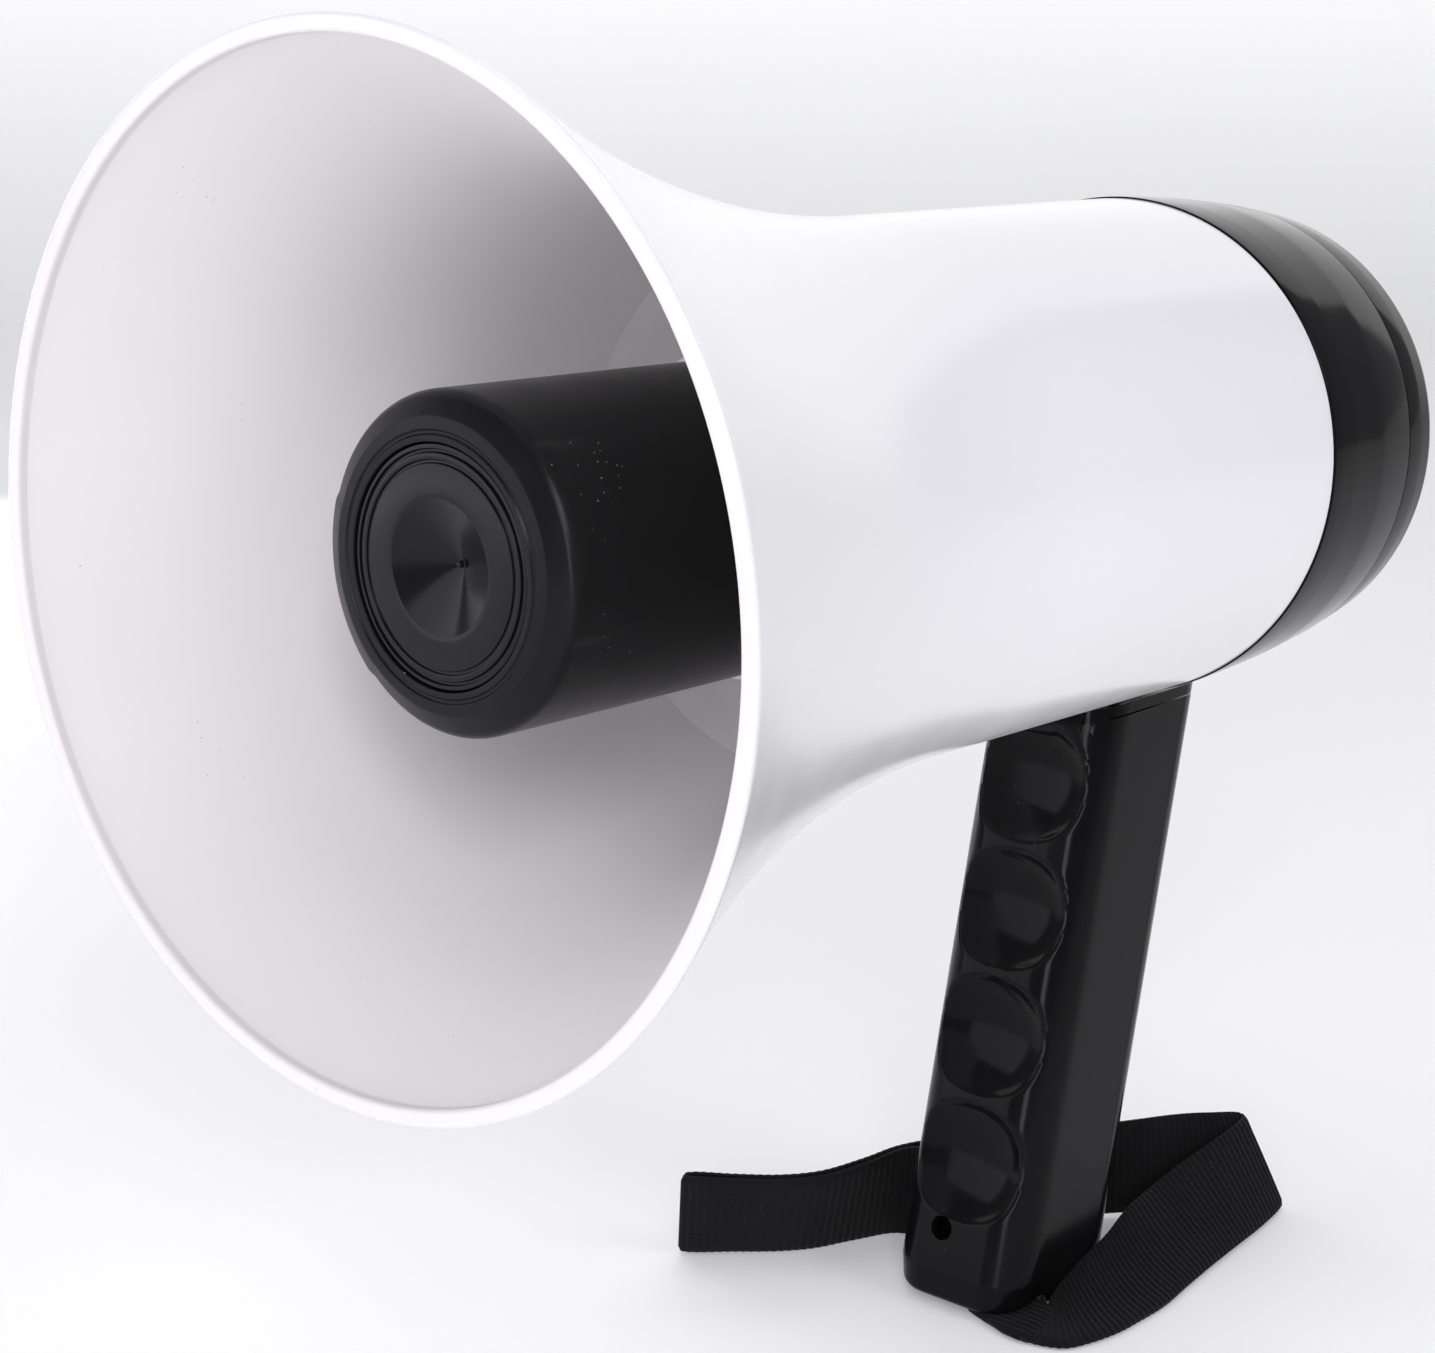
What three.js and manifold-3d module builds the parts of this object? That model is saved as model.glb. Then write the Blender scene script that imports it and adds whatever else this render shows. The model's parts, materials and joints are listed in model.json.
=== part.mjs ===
// Handheld megaphone: a white flared horn with a driver in a black centre tube, batteries and
// electronics in the barrel, a black rear cap with its controls, and a folding pistol grip with
// a webbing wrist strap. Millimetres, +Z up, the mouth faces -Y and the grip stands on z = 0.
import * as THREE from 'three';
import { mergeVertices } from 'three/addons/utils/BufferGeometryUtils.js';
import Module from 'manifold-3d';

const wasm = await Module();
wasm.setup();

// ---------------------------------------------------------------- driving dimensions
const LENGTH = 259;              // mouth plane to the rear rim
const AXIS_HEIGHT = 171.5;       // horn axis above the surface that the grip stands on
const GAP = 0.3;                 // clearance between pieces that touch

const RIM_R = 80;                // horn mouth
const BARREL_R = 49;             // barrel where the flare ends
const FLARE_LENGTH = 120;
const BARREL_END = 206.7;
const BARREL_END_R = 50.2;
const WALL = 2;
const LIP_WIDTH = 3.3;

const TUBE_R = 26.5;             // centre tube that houses the driver
const TUBE_FRONT = 21;
const TUBE_REAR = 104;
const COVER_R = 18.6;

const COLLAR_REAR = 242.7;       // black collar behind the barrel
const COLLAR_R = 50.5;
const CAP_FRONT = 243;           // twist-off rear cap
const PANEL_BACK = 249.9;        // rear face of the control panel
const PANEL_R = 42.2;
const BOARD_BACK = 234.6;        // rear face of the circuit board

const PIVOT_S = 186.6;           // grip hinge, from the mouth plane
const PIVOT_DROP = 53.6;         // grip hinge, below the horn axis
const RAKE = Math.atan(0.25);    // grip leans forward
const GRIP_HALF_WIDTH = 15.5;
const GRIP_FRONT = -3.2;         // grip front face, from the hinge
const GRIP_BACK = 35.6;
const GRIP_SEAM = 26.6;
const GRIP_WALL = 2.4;
const GRIP_CORNER = 9;
const SCALLOP_PITCH = 26.1;
const SCALLOP_FIRST = -12.6;
const KNUCKLE_R = 2.9;
const KNUCKLE_HALF = 10;         // half length of the grip's knuckle between the bracket's ears

const FRONT_SCREW_S = 195.5;     // screws that hold the grip bracket under the barrel
const REAR_SCREW_S = 211;
const SCREW_HOLE_R = 1.7;

const STRAP_WIDTH = 22;
const STRAP_THICKNESS = 1.6;

const BIG = 40;                  // sides of the large round pieces
const MID = 20;
const SMALL = 14;

// ---------------------------------------------------------------- materials
function finish(color, roughness, metalness = 0) {
  return new THREE.MeshStandardMaterial({ color, roughness, metalness });
}
const whiteShell = finish(0xf2f1f4, 0.25);
const blackGloss = finish(0x0c0c0e, 0.22);
const blackSatin = finish(0x111113, 0.5);
const blackFabric = finish(0x0a0a0b, 0.95);
const darkRubber = finish(0x161616, 0.8);
const innerPlastic = finish(0x2a2b2e, 0.6);
const steel = finish(0xb9bbc0, 0.3, 1);
const ferrite = finish(0x35353a, 0.7);
const copper = finish(0xb4692f, 0.35, 1);
const paperCone = finish(0xc9b07a, 0.6);
const boardGreen = finish(0x1f5d3a, 0.5);
const cellSleeve = finish(0x3b4a63, 0.35);

// ---------------------------------------------------------------- solids
const root = new THREE.Group();
const horn = new THREE.Group();           // origin on the axis in the mouth plane
horn.position.set(0, -LENGTH / 2, AXIS_HEIGHT);
root.add(horn);
const grip = new THREE.Group();           // origin on the hinge, local Z along the grip
grip.position.set(0, PIVOT_S, -PIVOT_DROP);
grip.rotation.x = -RAKE;
horn.add(grip);

function signedVolume(positions, index) {
  const a = new THREE.Vector3(), b = new THREE.Vector3(), c = new THREE.Vector3();
  let volume = 0;
  for (let i = 0; i < index.length; i += 3) {
    a.fromArray(positions, 3 * index[i]);
    b.fromArray(positions, 3 * index[i + 1]);
    c.fromArray(positions, 3 * index[i + 2]);
    volume += a.dot(b.cross(c)) / 6;
  }
  return volume;
}

// One closed body with shared vertices, no empty triangles and its faces pointing out.
function closed(geometry) {
  const bare = geometry.clone();
  bare.deleteAttribute('normal');
  if (bare.getAttribute('uv')) bare.deleteAttribute('uv');
  const merged = mergeVertices(bare, 1e-4);
  const positions = merged.getAttribute('position').array;
  const triangles = [];
  const index = merged.getIndex().array;
  for (let i = 0; i < index.length; i += 3) {
    const [a, b, c] = [index[i], index[i + 1], index[i + 2]];
    if (a !== b && b !== c && c !== a) triangles.push(a, b, c);
  }
  if (signedVolume(positions, triangles) < 0) triangles.reverse();
  const result = new THREE.BufferGeometry();
  result.setAttribute('position', new THREE.BufferAttribute(new Float32Array(positions), 3));
  result.setIndex(triangles);
  return result;
}

function toSolid(geometry) {
  const mesh = closed(geometry);
  return new wasm.Manifold(new wasm.Mesh({
    numProp: 3,
    vertProperties: new Float32Array(mesh.getAttribute('position').array),
    triVerts: new Uint32Array(mesh.getIndex().array),
  }));
}

function toGeometry(solid) {
  const mesh = solid.getMesh();
  const geometry = new THREE.BufferGeometry();
  geometry.setAttribute('position', new THREE.BufferAttribute(mesh.vertProperties, 3));
  geometry.setIndex(new THREE.BufferAttribute(mesh.triVerts, 1));
  return geometry;
}

const cut = (body, ...tools) => toGeometry(
  tools.reduce((solid, tool) => solid.subtract(toSolid(tool)), toSolid(body)));
const join = (body, ...others) => toGeometry(
  others.reduce((solid, other) => solid.add(toSolid(other)), toSolid(body)));
const common = (body, ...others) => toGeometry(
  others.reduce((solid, other) => solid.intersect(toSolid(other)), toSolid(body)));

// Body of revolution about Y. The outline is a loop of [radius, position along Y].
function turned(outline, sides = MID) {
  const points = outline.map(([r, s]) => new THREE.Vector2(r, s));
  points.push(points[0].clone());
  return new THREE.LatheGeometry(points, sides);
}

const disc = (radius, front, back, sides = MID) => turned(
  [[0, front], [radius, front], [radius, back], [0, back]], sides);
const ring = (inner, outer, front, back, sides = MID) => turned(
  [[inner, front], [outer, front], [outer, back], [inner, back]], sides);

function box(x0, x1, y0, y1, z0, z1) {
  const geometry = new THREE.BoxGeometry(x1 - x0, y1 - y0, z1 - z0);
  return geometry.translate((x0 + x1) / 2, (y0 + y1) / 2, (z0 + z1) / 2);
}

// Cylinder along X, Y or Z through a point, between two positions on that axis.
function rod(axis, radius, at, from, to, sides = SMALL) {
  const geometry = new THREE.CylinderGeometry(radius, radius, to - from, sides);
  geometry.translate(0, (from + to) / 2, 0);
  if (axis === 'x') geometry.rotateZ(-Math.PI / 2).translate(0, at[0], at[1]);
  if (axis === 'y') geometry.translate(at[0], 0, at[1]);
  if (axis === 'z') geometry.rotateX(Math.PI / 2).translate(at[0], at[1], 0);
  return geometry;
}

// Rounded rectangle in X and Y, extruded along Z.
function roundedBlock(x0, x1, y0, y1, radius, z0, z1) {
  const shape = new THREE.Shape();
  shape.moveTo(x0 + radius, y0).lineTo(x1 - radius, y0);
  shape.absarc(x1 - radius, y0 + radius, radius, -Math.PI / 2, 0, false);
  shape.absarc(x1 - radius, y1 - radius, radius, 0, Math.PI / 2, false);
  shape.absarc(x0 + radius, y1 - radius, radius, Math.PI / 2, Math.PI, false);
  shape.absarc(x0 + radius, y0 + radius, radius, Math.PI, 1.5 * Math.PI, false);
  const geometry = new THREE.ExtrudeGeometry(shape,
    { depth: z1 - z0, bevelEnabled: false, curveSegments: 5 });
  return geometry.translate(0, 0, z0);
}

// The same block standing along Y: its height is the second pair of numbers.
const blockAlongY = (x0, x1, z0, z1, radius, y0, y1) =>
  roundedBlock(x0, x1, -z1, -z0, radius, y0, y1).rotateX(-Math.PI / 2);

// A coil of wire along Y that narrows from one radius to the other.
function coilSpring(startRadius, endRadius, wire, turns, y0, y1) {
  const stepsPerTurn = 8;
  const points = [];
  for (let i = 0; i <= turns * stepsPerTurn; i += 1) {
    const t = i / (turns * stepsPerTurn);
    const radius = THREE.MathUtils.lerp(startRadius, endRadius, t);
    const angle = 2 * Math.PI * turns * t;
    const y = THREE.MathUtils.lerp(y0 + wire, y1 - wire, t);
    points.push(new THREE.Vector3(radius * Math.cos(angle), y, radius * Math.sin(angle)));
  }
  const section = new THREE.Shape().absarc(0, 0, wire, 0, 2 * Math.PI, false);
  return new THREE.ExtrudeGeometry(section, {
    steps: turns * stepsPerTurn, curveSegments: 2, bevelEnabled: false,
    extrudePath: new THREE.CatmullRomCurve3(points),
  });
}

function add(name, geometry, material, parent = horn) {
  const mesh = new THREE.Mesh(closed(geometry), material);
  mesh.name = name;
  parent.add(mesh);
  return mesh;
}

// ---------------------------------------------------------------- horn bell and barrel
const flare = new THREE.QuadraticBezierCurve(
  new THREE.Vector2(RIM_R, 0),
  new THREE.Vector2(BARREL_R, FLARE_LENGTH / 2),
  new THREE.Vector2(BARREL_R, FLARE_LENGTH)).getPoints(9).map((p) => [p.x, p.y]);

function hornBell() {
  const inside = flare.slice(1).map(([r, s]) => [r - WALL, s]).reverse();
  const lipR = RIM_R - LIP_WIDTH;
  return turned([
    ...flare, [BARREL_END_R, BARREL_END], [BARREL_END_R - WALL, BARREL_END],
    ...inside, [lipR, 2.5], [lipR, 0],
  ], BIG);
}

// ---------------------------------------------------------------- driver in the centre tube
function driverHousing() {
  const nose = 2.9;
  const rounded = [0, 1, 2, 3].map((i) => {
    const angle = (i / 3) * Math.PI / 2;
    return [TUBE_R - nose + nose * Math.sin(angle), TUBE_FRONT + nose - nose * Math.cos(angle)];
  });
  return turned([
    [COVER_R + 0.4, TUBE_FRONT], ...rounded, [TUBE_R, TUBE_REAR], [24.4, TUBE_REAR],
    [24.4, 28.6], [14.8, 28.6], [14.8, 26.3], [COVER_R + 0.4, 26.3],
  ], 28);
}

function driverCover() {
  const face = TUBE_FRONT + 0.3;
  return turned([
    [0, face + 5.2], [0.8, face + 4.4], [10.55, face], [13.4, face], [13.6, face + 0.6],
    [14.4, face + 0.6], [14.6, face], [16.4, face], [16.6, face + 0.6], [17.3, face + 0.6],
    [17.5, face], [COVER_R, face + 0.2], [COVER_R, 26], [14.4, 26], [14.4, 28.4], [0, 28.4],
  ]);
}

function throatHorn() {
  const start = 54, end = 103.5, startR = 4.5, endR = 19.5, wall = 1.6;
  const rate = Math.log(endR / startR) / (end - start);
  const inside = [];
  const steps = 5;
  for (let i = 0; i <= steps; i += 1) {
    const s = start + (end - start) * i / steps;
    inside.push([startR * Math.exp(rate * (s - start)), s]);
  }
  const outside = inside.map(([r, s]) => [r + wall, s]).reverse();
  return turned([
    [startR, 50.2], ...inside, ...outside, [startR + wall, 52.5],
    [24.1, 52.5], [24.1, 49.3], [19, 49.3], [19, 50.2],
  ]);
}

function housingSpider() {
  const fins = [60, 180, 300].map((degrees) =>
    box(28, 46.9, 92, 103.6, -1.2, 1.2).rotateY(THREE.MathUtils.degToRad(degrees)));
  return join(ring(TUBE_R + GAP, 28.8, 90, 104, 28), ...fins);
}

function reflectorBowl() {
  return turned([
    [0, 110], [4, 115], [9, 120], [15, 124.2], [22, 126.2], [29, 126.2], [36, 123.8],
    [41.5, 119], [45, 112.5], [46.4, 107], [46.4, 130], [0, 130],
  ], 28);
}

add('horn_bell', cut(hornBell(), rod('z', SCREW_HOLE_R, [0, FRONT_SCREW_S], -60, -40)), whiteShell);
add('driver_housing', driverHousing(), blackSatin);
add('driver_cover', driverCover(), blackSatin);
add('magnet_yoke', turned([[0, 29], [20, 29], [20, 32], [6.2, 32], [6.2, 42.6], [0, 42.6]]), steel);
add('ferrite_magnet', ring(9.5, 21, 32.3, 39.3), ferrite);
add('top_plate', ring(7.4, 20, 39.6, 42.6), steel);
add('voice_coil', ring(6.6, 7.1, 37.5, 45), copper);
add('driver_frame', turned([[21.4, 30], [24.1, 30], [24.1, 48], [17.5, 48], [17.5, 43], [21.4, 43]]),
  innerPlastic);
add('diaphragm', turned([
  [0, 48], [4, 47.2], [7.5, 45.4], [9, 45.4], [16, 48.4], [23.5, 48.4],
  [23.5, 49], [15.8, 49], [9, 46], [7.3, 46], [4.2, 47.8], [0, 48.6],
]), paperCone);
add('throat_horn', throatHorn(), innerPlastic);
add('housing_spider', housingSpider(), whiteShell);
add('reflector_bowl', reflectorBowl(), whiteShell);
add('bulkhead', disc(46.4, 130.6, 133.6, 28), innerPlastic);

// ---------------------------------------------------------------- batteries
const CELL_OFFSET = 14.6;
const CELL_R = 13.1;
const CELL_FRONT = 143;

function batteryTray() {
  return join(disc(44, 136, 139), disc(44, 196, 199),
    box(-1, 1, 138, 197, -30, 30), box(-30, 30, 138, 197, -1, 1));
}

function batteryCell(flipped) {
  const cell = turned([
    [0, 0], [12.3, 0], [CELL_R, 0.8], [CELL_R, 47.8], [12.3, 48.6], [4.2, 48.6], [4.2, 50], [0, 50],
  ], 16);
  if (flipped) cell.rotateX(Math.PI).translate(0, 50, 0);
  return cell.translate(0, CELL_FRONT, 0);
}

add('battery_tray', batteryTray(), innerPlastic);
[[1, 1], [-1, 1], [-1, -1], [1, -1]].forEach(([sx, sz], i) => {
  const flipped = i % 2 === 1;
  const place = [sx * CELL_OFFSET, 0, sz * CELL_OFFSET];
  const springEnds = flipped ? [193.2, 195.8] : [139.2, 142.8];
  add(`battery_cell_${i + 1}`, batteryCell(flipped).translate(...place), cellSleeve);
  add(`contact_spring_${i + 1}`,
    coilSpring(flipped ? 3 : 5.5, flipped ? 5.5 : 3, 0.4, 2, ...springEnds).translate(...place), steel);
});

// ---------------------------------------------------------------- rear collar
add('rear_collar', cut(turned([
  [COLLAR_R, BARREL_END + GAP], [50.4, 215], [49.7, 229], [48.5, COLLAR_REAR], [45.9, COLLAR_REAR],
  [45.9, 200.5], [47.6, 200.5], [47.6, BARREL_END + GAP],
], BIG), rod('z', SCREW_HOLE_R, [0, REAR_SCREW_S], -60, -40)), blackGloss);

// ---------------------------------------------------------------- rear cap and controls
function rearCap() {
  return turned([
    [48.2, CAP_FRONT], [47.5, 250], [46.7, 255.5], [45.4, 258.2], [43.8, LENGTH], [42.9, 258.4],
    [42.6, 257.4], [42.6, 247.4], [40, 247.4], [40, 244.6], [43.6, CAP_FRONT], [43.6, 236],
    [45.5, 236], [45.5, CAP_FRONT],
  ], BIG);
}

const MIC = [0, 9];
const KNOB = [22, -17];
const SLIDER = [-22, -17];
const KEYS = { siren: [-28, 8], play: [28, 8] };
const TALK = [0, -27];
const JACK = [0, 33];
const LED = [14, 30];
const PANEL_SCREWS = [90 + 45, 45, 270].map((degrees) => {
  const angle = THREE.MathUtils.degToRad(degrees);
  return [36 * Math.cos(angle), 36 * Math.sin(angle)];
});
const PANEL_FRONT = PANEL_BACK - 2.2;

function controlPanel() {
  const through = [PANEL_FRONT - 3, PANEL_BACK + 3];
  return cut(disc(PANEL_R, PANEL_FRONT, PANEL_BACK, 28),
    rod('y', 13.4, MIC, ...through, 20),
    rod('y', 4.3, KNOB, ...through),
    box(SLIDER[0] - 2.1, SLIDER[0] + 2.1, ...through, SLIDER[1] - 6.6, SLIDER[1] + 6.6),
    rod('y', 4.5, KEYS.siren, ...through), rod('y', 4.5, KEYS.play, ...through),
    blockAlongY(TALK[0] - 8.2, TALK[0] + 8.2, TALK[1] - 4.6, TALK[1] + 4.6, 2.5, ...through),
    rod('y', 3.1, JACK, ...through), rod('y', 1.8, LED, ...through, 12),
    ...PANEL_SCREWS.map((at) => rod('y', 1.6, at, ...through, 12)));
}

function micGrille() {
  const dome = turned([
    [0, 252.2], [6, 251.9], [10, 251.1], [13, 249.8], [13, 247.8], [11.6, 247.8], [11.6, 249],
    [6, 250.6], [0, 251],
  ]);
  const slots = [-7.5, -4.5, -1.5, 1.5, 4.5, 7.5].map((z) =>
    box(-8, 8, 246, 256, z - 0.6, z + 0.6));
  return cut(dome, ...slots).translate(MIC[0], 0, MIC[1]);
}

function keyCap() {
  return turned([
    [0, 243.4], [5.4, 243.4], [5.4, 245.6], [4.1, 245.6], [4.1, 251.9], [3.4, 252.6], [0, 252.6],
  ], 16);
}

function talkButton() {
  return join(
    blockAlongY(TALK[0] - 7.8, TALK[0] + 7.8, TALK[1] - 4.2, TALK[1] + 4.2, 2.3, 245, 254),
    blockAlongY(TALK[0] - 9.2, TALK[0] + 9.2, TALK[1] - 5.4, TALK[1] + 5.4, 2.3, 243.6, 246.2));
}

function volumeKnob() {
  const ribs = [];
  for (let i = 0; i < 16; i += 1) {
    ribs.push(box(7.7, 9, 250, 258, -0.5, 0.5).rotateY(i * Math.PI / 8));
  }
  const body = turned([
    [0, 244.4], [2.6, 244.4], [2.6, 250.6], [8.2, 250.6], [8.2, 256.6], [7.4, 257.4], [0, 257.4],
  ]);
  const pointer = box(-0.5, 0.5, 257, 260, 2.5, 9);
  return cut(body, ...ribs, pointer).translate(KNOB[0], 0, KNOB[1]);
}

function boardComponent([x, z], halfX, halfZ, back) {
  return box(x - halfX, x + halfX, BOARD_BACK + GAP, back, z - halfZ, z + halfZ);
}

add('rear_cap', rearCap(), blackGloss);
add('control_panel', controlPanel(), blackSatin);
add('mic_grille', micGrille(), blackSatin);
add('mic_capsule', disc(4.8, 240.5, 246.8, 24).translate(MIC[0], 0, MIC[1]), steel);
add('mic_boot', ring(5.1, 8, 239, 247.4, 24).translate(MIC[0], 0, MIC[1]), darkRubber);
add('circuit_board', cut(disc(41, BOARD_BACK - 1.6, BOARD_BACK, 24),
  ...PANEL_SCREWS.map((at) => rod('y', 1.6, at, 230, 238, 12))), boardGreen);
add('amplifier_chip', boardComponent([0, -8], 6, 4, 237.6), innerPlastic);
add('volume_pot', cut(join(boardComponent(KNOB, 8, 7, 243), rod('y', 3.9, KNOB, 242, 249.6)),
  rod('y', 2.9, KNOB, 240, 252)), steel);
add('volume_knob', volumeKnob(), blackSatin);
add('mode_switch', boardComponent(SLIDER, 4.5, 9, 244.6), steel);
add('mode_slider', join(
  box(SLIDER[0] - 1.6, SLIDER[0] + 1.6, 245.1, 253, SLIDER[1] - 2, SLIDER[1] + 2),
  box(SLIDER[0] - 3.2, SLIDER[0] + 3.2, 245.1, 247, SLIDER[1] - 4.5, SLIDER[1] + 4.5)), blackSatin);
for (const [name, at] of Object.entries(KEYS)) {
  add(`${name}_button`, keyCap().translate(at[0], 0, at[1]), name === 'siren'
    ? finish(0xb3201c, 0.4) : darkRubber);
  add(`${name}_switch`, boardComponent(at, 3, 3, 241.6), innerPlastic);
}
add('talk_button', talkButton(), darkRubber);
add('talk_switch', boardComponent(TALK, 3.2, 3.2, 241.2), innerPlastic);
add('charge_jack', cut(join(boardComponent(JACK, 4.2, 4.2, 246.5), rod('y', 2.8, JACK, 246, 250.1)),
  rod('y', 1.7, JACK, 238, 252, 12)), darkRubber);
add('power_led', disc(1.4, BOARD_BACK + GAP, 250.6, 12).translate(LED[0], 0, LED[1]), finish(0xd23a2e, 0.2));
PANEL_SCREWS.forEach((at, i) => {
  add(`panel_standoff_${i + 1}`,
    ring(1.8, 3, BOARD_BACK + GAP, PANEL_FRONT - GAP, 16).translate(at[0], 0, at[1]), innerPlastic);
  add(`panel_screw_${i + 1}`, turned([
    [0, 235.4], [1.3, 235.4], [1.3, PANEL_BACK + GAP], [2.7, PANEL_BACK + GAP],
    [2.7, PANEL_BACK + 1.4], [1.9, PANEL_BACK + 1.9], [0, PANEL_BACK + 1.9],
  ], 16).translate(at[0], 0, at[1]), steel);
});

// ---------------------------------------------------------------- grip bracket on the barrel
// A saddle plate under the barrel. Its two ears hold the hinge pin, and two posts inside the
// hollow grip take the screws.
const BRACKET_INNER = COLLAR_R + 0.3;
const BRACKET_OUTER = 53;
const BRACKET_BACK = 223.5;
const PIN_HALF = 12;

function gripBracket() {
  const below = ring(BRACKET_INNER, 70, 170, 230, BIG);
  const saddle = ring(BRACKET_INNER, BRACKET_OUTER, 170, 230, BIG);
  const plate = common(box(-20, 20, PIVOT_S + 3.6, BRACKET_BACK, -60, -30), saddle);
  const ears = [-1, 1].map((side) => {
    const [x0, x1] = [side * (KNUCKLE_HALF + GAP), side * 20].sort((a, b) => a - b);
    return join(common(rod('x', KNUCKLE_R, [PIVOT_S, -PIVOT_DROP], x0, x1), below),
      common(box(x0, x1, PIVOT_S - KNUCKLE_R, PIVOT_S + 6, -PIVOT_DROP, -46), saddle));
  });
  const posts = [FRONT_SCREW_S, REAR_SCREW_S].map((s) =>
    common(box(-5, 5, s - 4.5, s + 4.5, -59, -48), below));
  const gripOutline = roundedBlock(-GRIP_HALF_WIDTH, GRIP_HALF_WIDTH, GRIP_FRONT, GRIP_BACK,
    GRIP_CORNER, -30, 30).rotateX(-RAKE).translate(0, PIVOT_S, -PIVOT_DROP);
  const body = common(join(plate, ...ears, ...posts), gripOutline);
  return cut(body,
    rod('x', 1.9, [PIVOT_S, -PIVOT_DROP], -PIN_HALF - GAP, PIN_HALF + GAP, 12),
    rod('z', 1.6, [0, FRONT_SCREW_S], -57.5, -40, 12),
    rod('z', 1.6, [0, REAR_SCREW_S], -57.5, -40, 12));
}

const screwProfile = (length) => [
  [0, -length], [1.3, -length], [1.3, 0], [3, 0], [3, 1], [2.2, 1.6], [0, 1.6],
];

add('grip_bracket', gripBracket(), blackGloss);
add('bracket_screw_1', turned(screwProfile(9.2), 12).rotateX(Math.PI / 2)
  .translate(0, FRONT_SCREW_S, -47.7), steel);
add('bracket_screw_2', turned(screwProfile(11.5), 12).rotateX(Math.PI / 2)
  .translate(0, REAR_SCREW_S, -45.5), steel);

// ---------------------------------------------------------------- folding grip
// Level tools are given in the horn's axes and turned into the grip's own axes.
const toGrip = (geometry) => geometry.translate(0, -PIVOT_S, PIVOT_DROP).rotateX(RAKE);
const FLOOR = -AXIS_HEIGHT;
const FOOT_WALL = 3.2;
const FOOT_BEVEL_S = 160.5;               // where the bevel of the foot would meet the floor
const STRAP_SLOT = [166.3, 169.2];
const GRIP_SCREW = [-3, -105.4];
const STRAP_EYE = [-3, -157.1];          // where the screw boss passes through the webbing

function gripBody() {
  const outer = roundedBlock(-GRIP_HALF_WIDTH, GRIP_HALF_WIDTH, GRIP_FRONT, GRIP_BACK,
    GRIP_CORNER, -130, 25);
  const hollow = roundedBlock(-GRIP_HALF_WIDTH + GRIP_WALL, GRIP_HALF_WIDTH - GRIP_WALL,
    GRIP_FRONT + GRIP_WALL, GRIP_BACK - GRIP_WALL, GRIP_CORNER - GRIP_WALL, -130, 40);
  const hollowAbove = cut(hollow, toGrip(box(-40, 40, 90, 260, -230, FLOOR + FOOT_WALL)));
  const scallops = [0, 1, 2, 3].map((i) => new THREE.SphereGeometry(1, 14, 8)
    .scale(15.3, 6.2, 12.4)
    .translate(0, GRIP_FRONT - 1.6, SCALLOP_FIRST - i * SCALLOP_PITCH));
  const scallopBacks = scallops.map((_, i) => new THREE.SphereGeometry(1, 10, 6)
    .scale(17.1, 8.4, 14.6)
    .translate(0, GRIP_FRONT - 1.6, SCALLOP_FIRST - i * SCALLOP_PITCH));
  const lining = common(scallopBacks.slice(1).reduce((sum, s) => join(sum, s), scallopBacks[0]),
    outer);
  const screwBoss = rod('y', 4, GRIP_SCREW, GRIP_FRONT + 1, GRIP_BACK - 1, 20);
  const knuckle = rod('x', KNUCKLE_R, [0, 0], -KNUCKLE_HALF, KNUCKLE_HALF);
  const solidGrip = join(cut(outer, hollowAbove), common(join(lining, screwBoss), outer));
  const inFront = toGrip(box(-40, 40, 100, PIVOT_S, -PIVOT_DROP, 0));
  const earScoops = [-1, 1].map((side) => {
    const [x0, x1] = [side * KNUCKLE_HALF, side * 20].sort((a, b) => a - b);
    return rod('x', KNUCKLE_R + 2 * GAP, [0, 0], x0, x1, MID);
  });
  const bevel = box(-40, 40, 0, 20, -30, 30).rotateX(-Math.PI / 4);
  const bevelShift = 10 * Math.SQRT2;
  const frontBevel = toGrip(bevel.translate(0, FOOT_BEVEL_S - bevelShift, FLOOR - bevelShift));
  const trimmed = cut(solidGrip,
    toGrip(box(-40, 40, 90, 260, -230, FLOOR)),
    toGrip(disc(BRACKET_OUTER + GAP, 90, 300, BIG)),
    inFront, ...earScoops, frontBevel,
    toGrip(box(-40, 40, 130, STRAP_SLOT[1], FLOOR - 10, FLOOR + 2.2)),
    toGrip(box(-11.6, 11.6, ...STRAP_SLOT, -190, -160)),
    ...scallops,
    rod('y', 2.5, GRIP_SCREW, -20, 6, 16),
    rod('y', 1.6, GRIP_SCREW, -20, GRIP_BACK - 3.3, 12));
  return cut(join(trimmed, knuckle), rod('x', 1.9, [0, 0], -20, 20, 12));
}

const wholeGrip = gripBody();
add('grip_front_shell', common(wholeGrip, box(-40, 40, -40, GRIP_SEAM - 0.15, -150, 60)), blackGloss, grip);
add('grip_back_cover', common(wholeGrip, box(-40, 40, GRIP_SEAM + 0.15, 60, -150, 60)), blackGloss, grip);
add('hinge_pin', rod('x', 1.6, [0, 0], -PIN_HALF, PIN_HALF, 16), steel, grip);
add('detent_leaf', join(box(-3, 3, 29.9, 30.6, -30, -1), box(-3, 3, 30.3, 32.9, -30, -27.6)), steel, grip);
add('grip_screw', turned([
  [0, 3.5], [1.5, 3.5], [2.2, 4], [2.2, 5.6], [1.3, 5.6], [1.3, 31], [0, 31],
], 16).translate(GRIP_SCREW[0], 0, GRIP_SCREW[1]), steel, grip);

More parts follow.
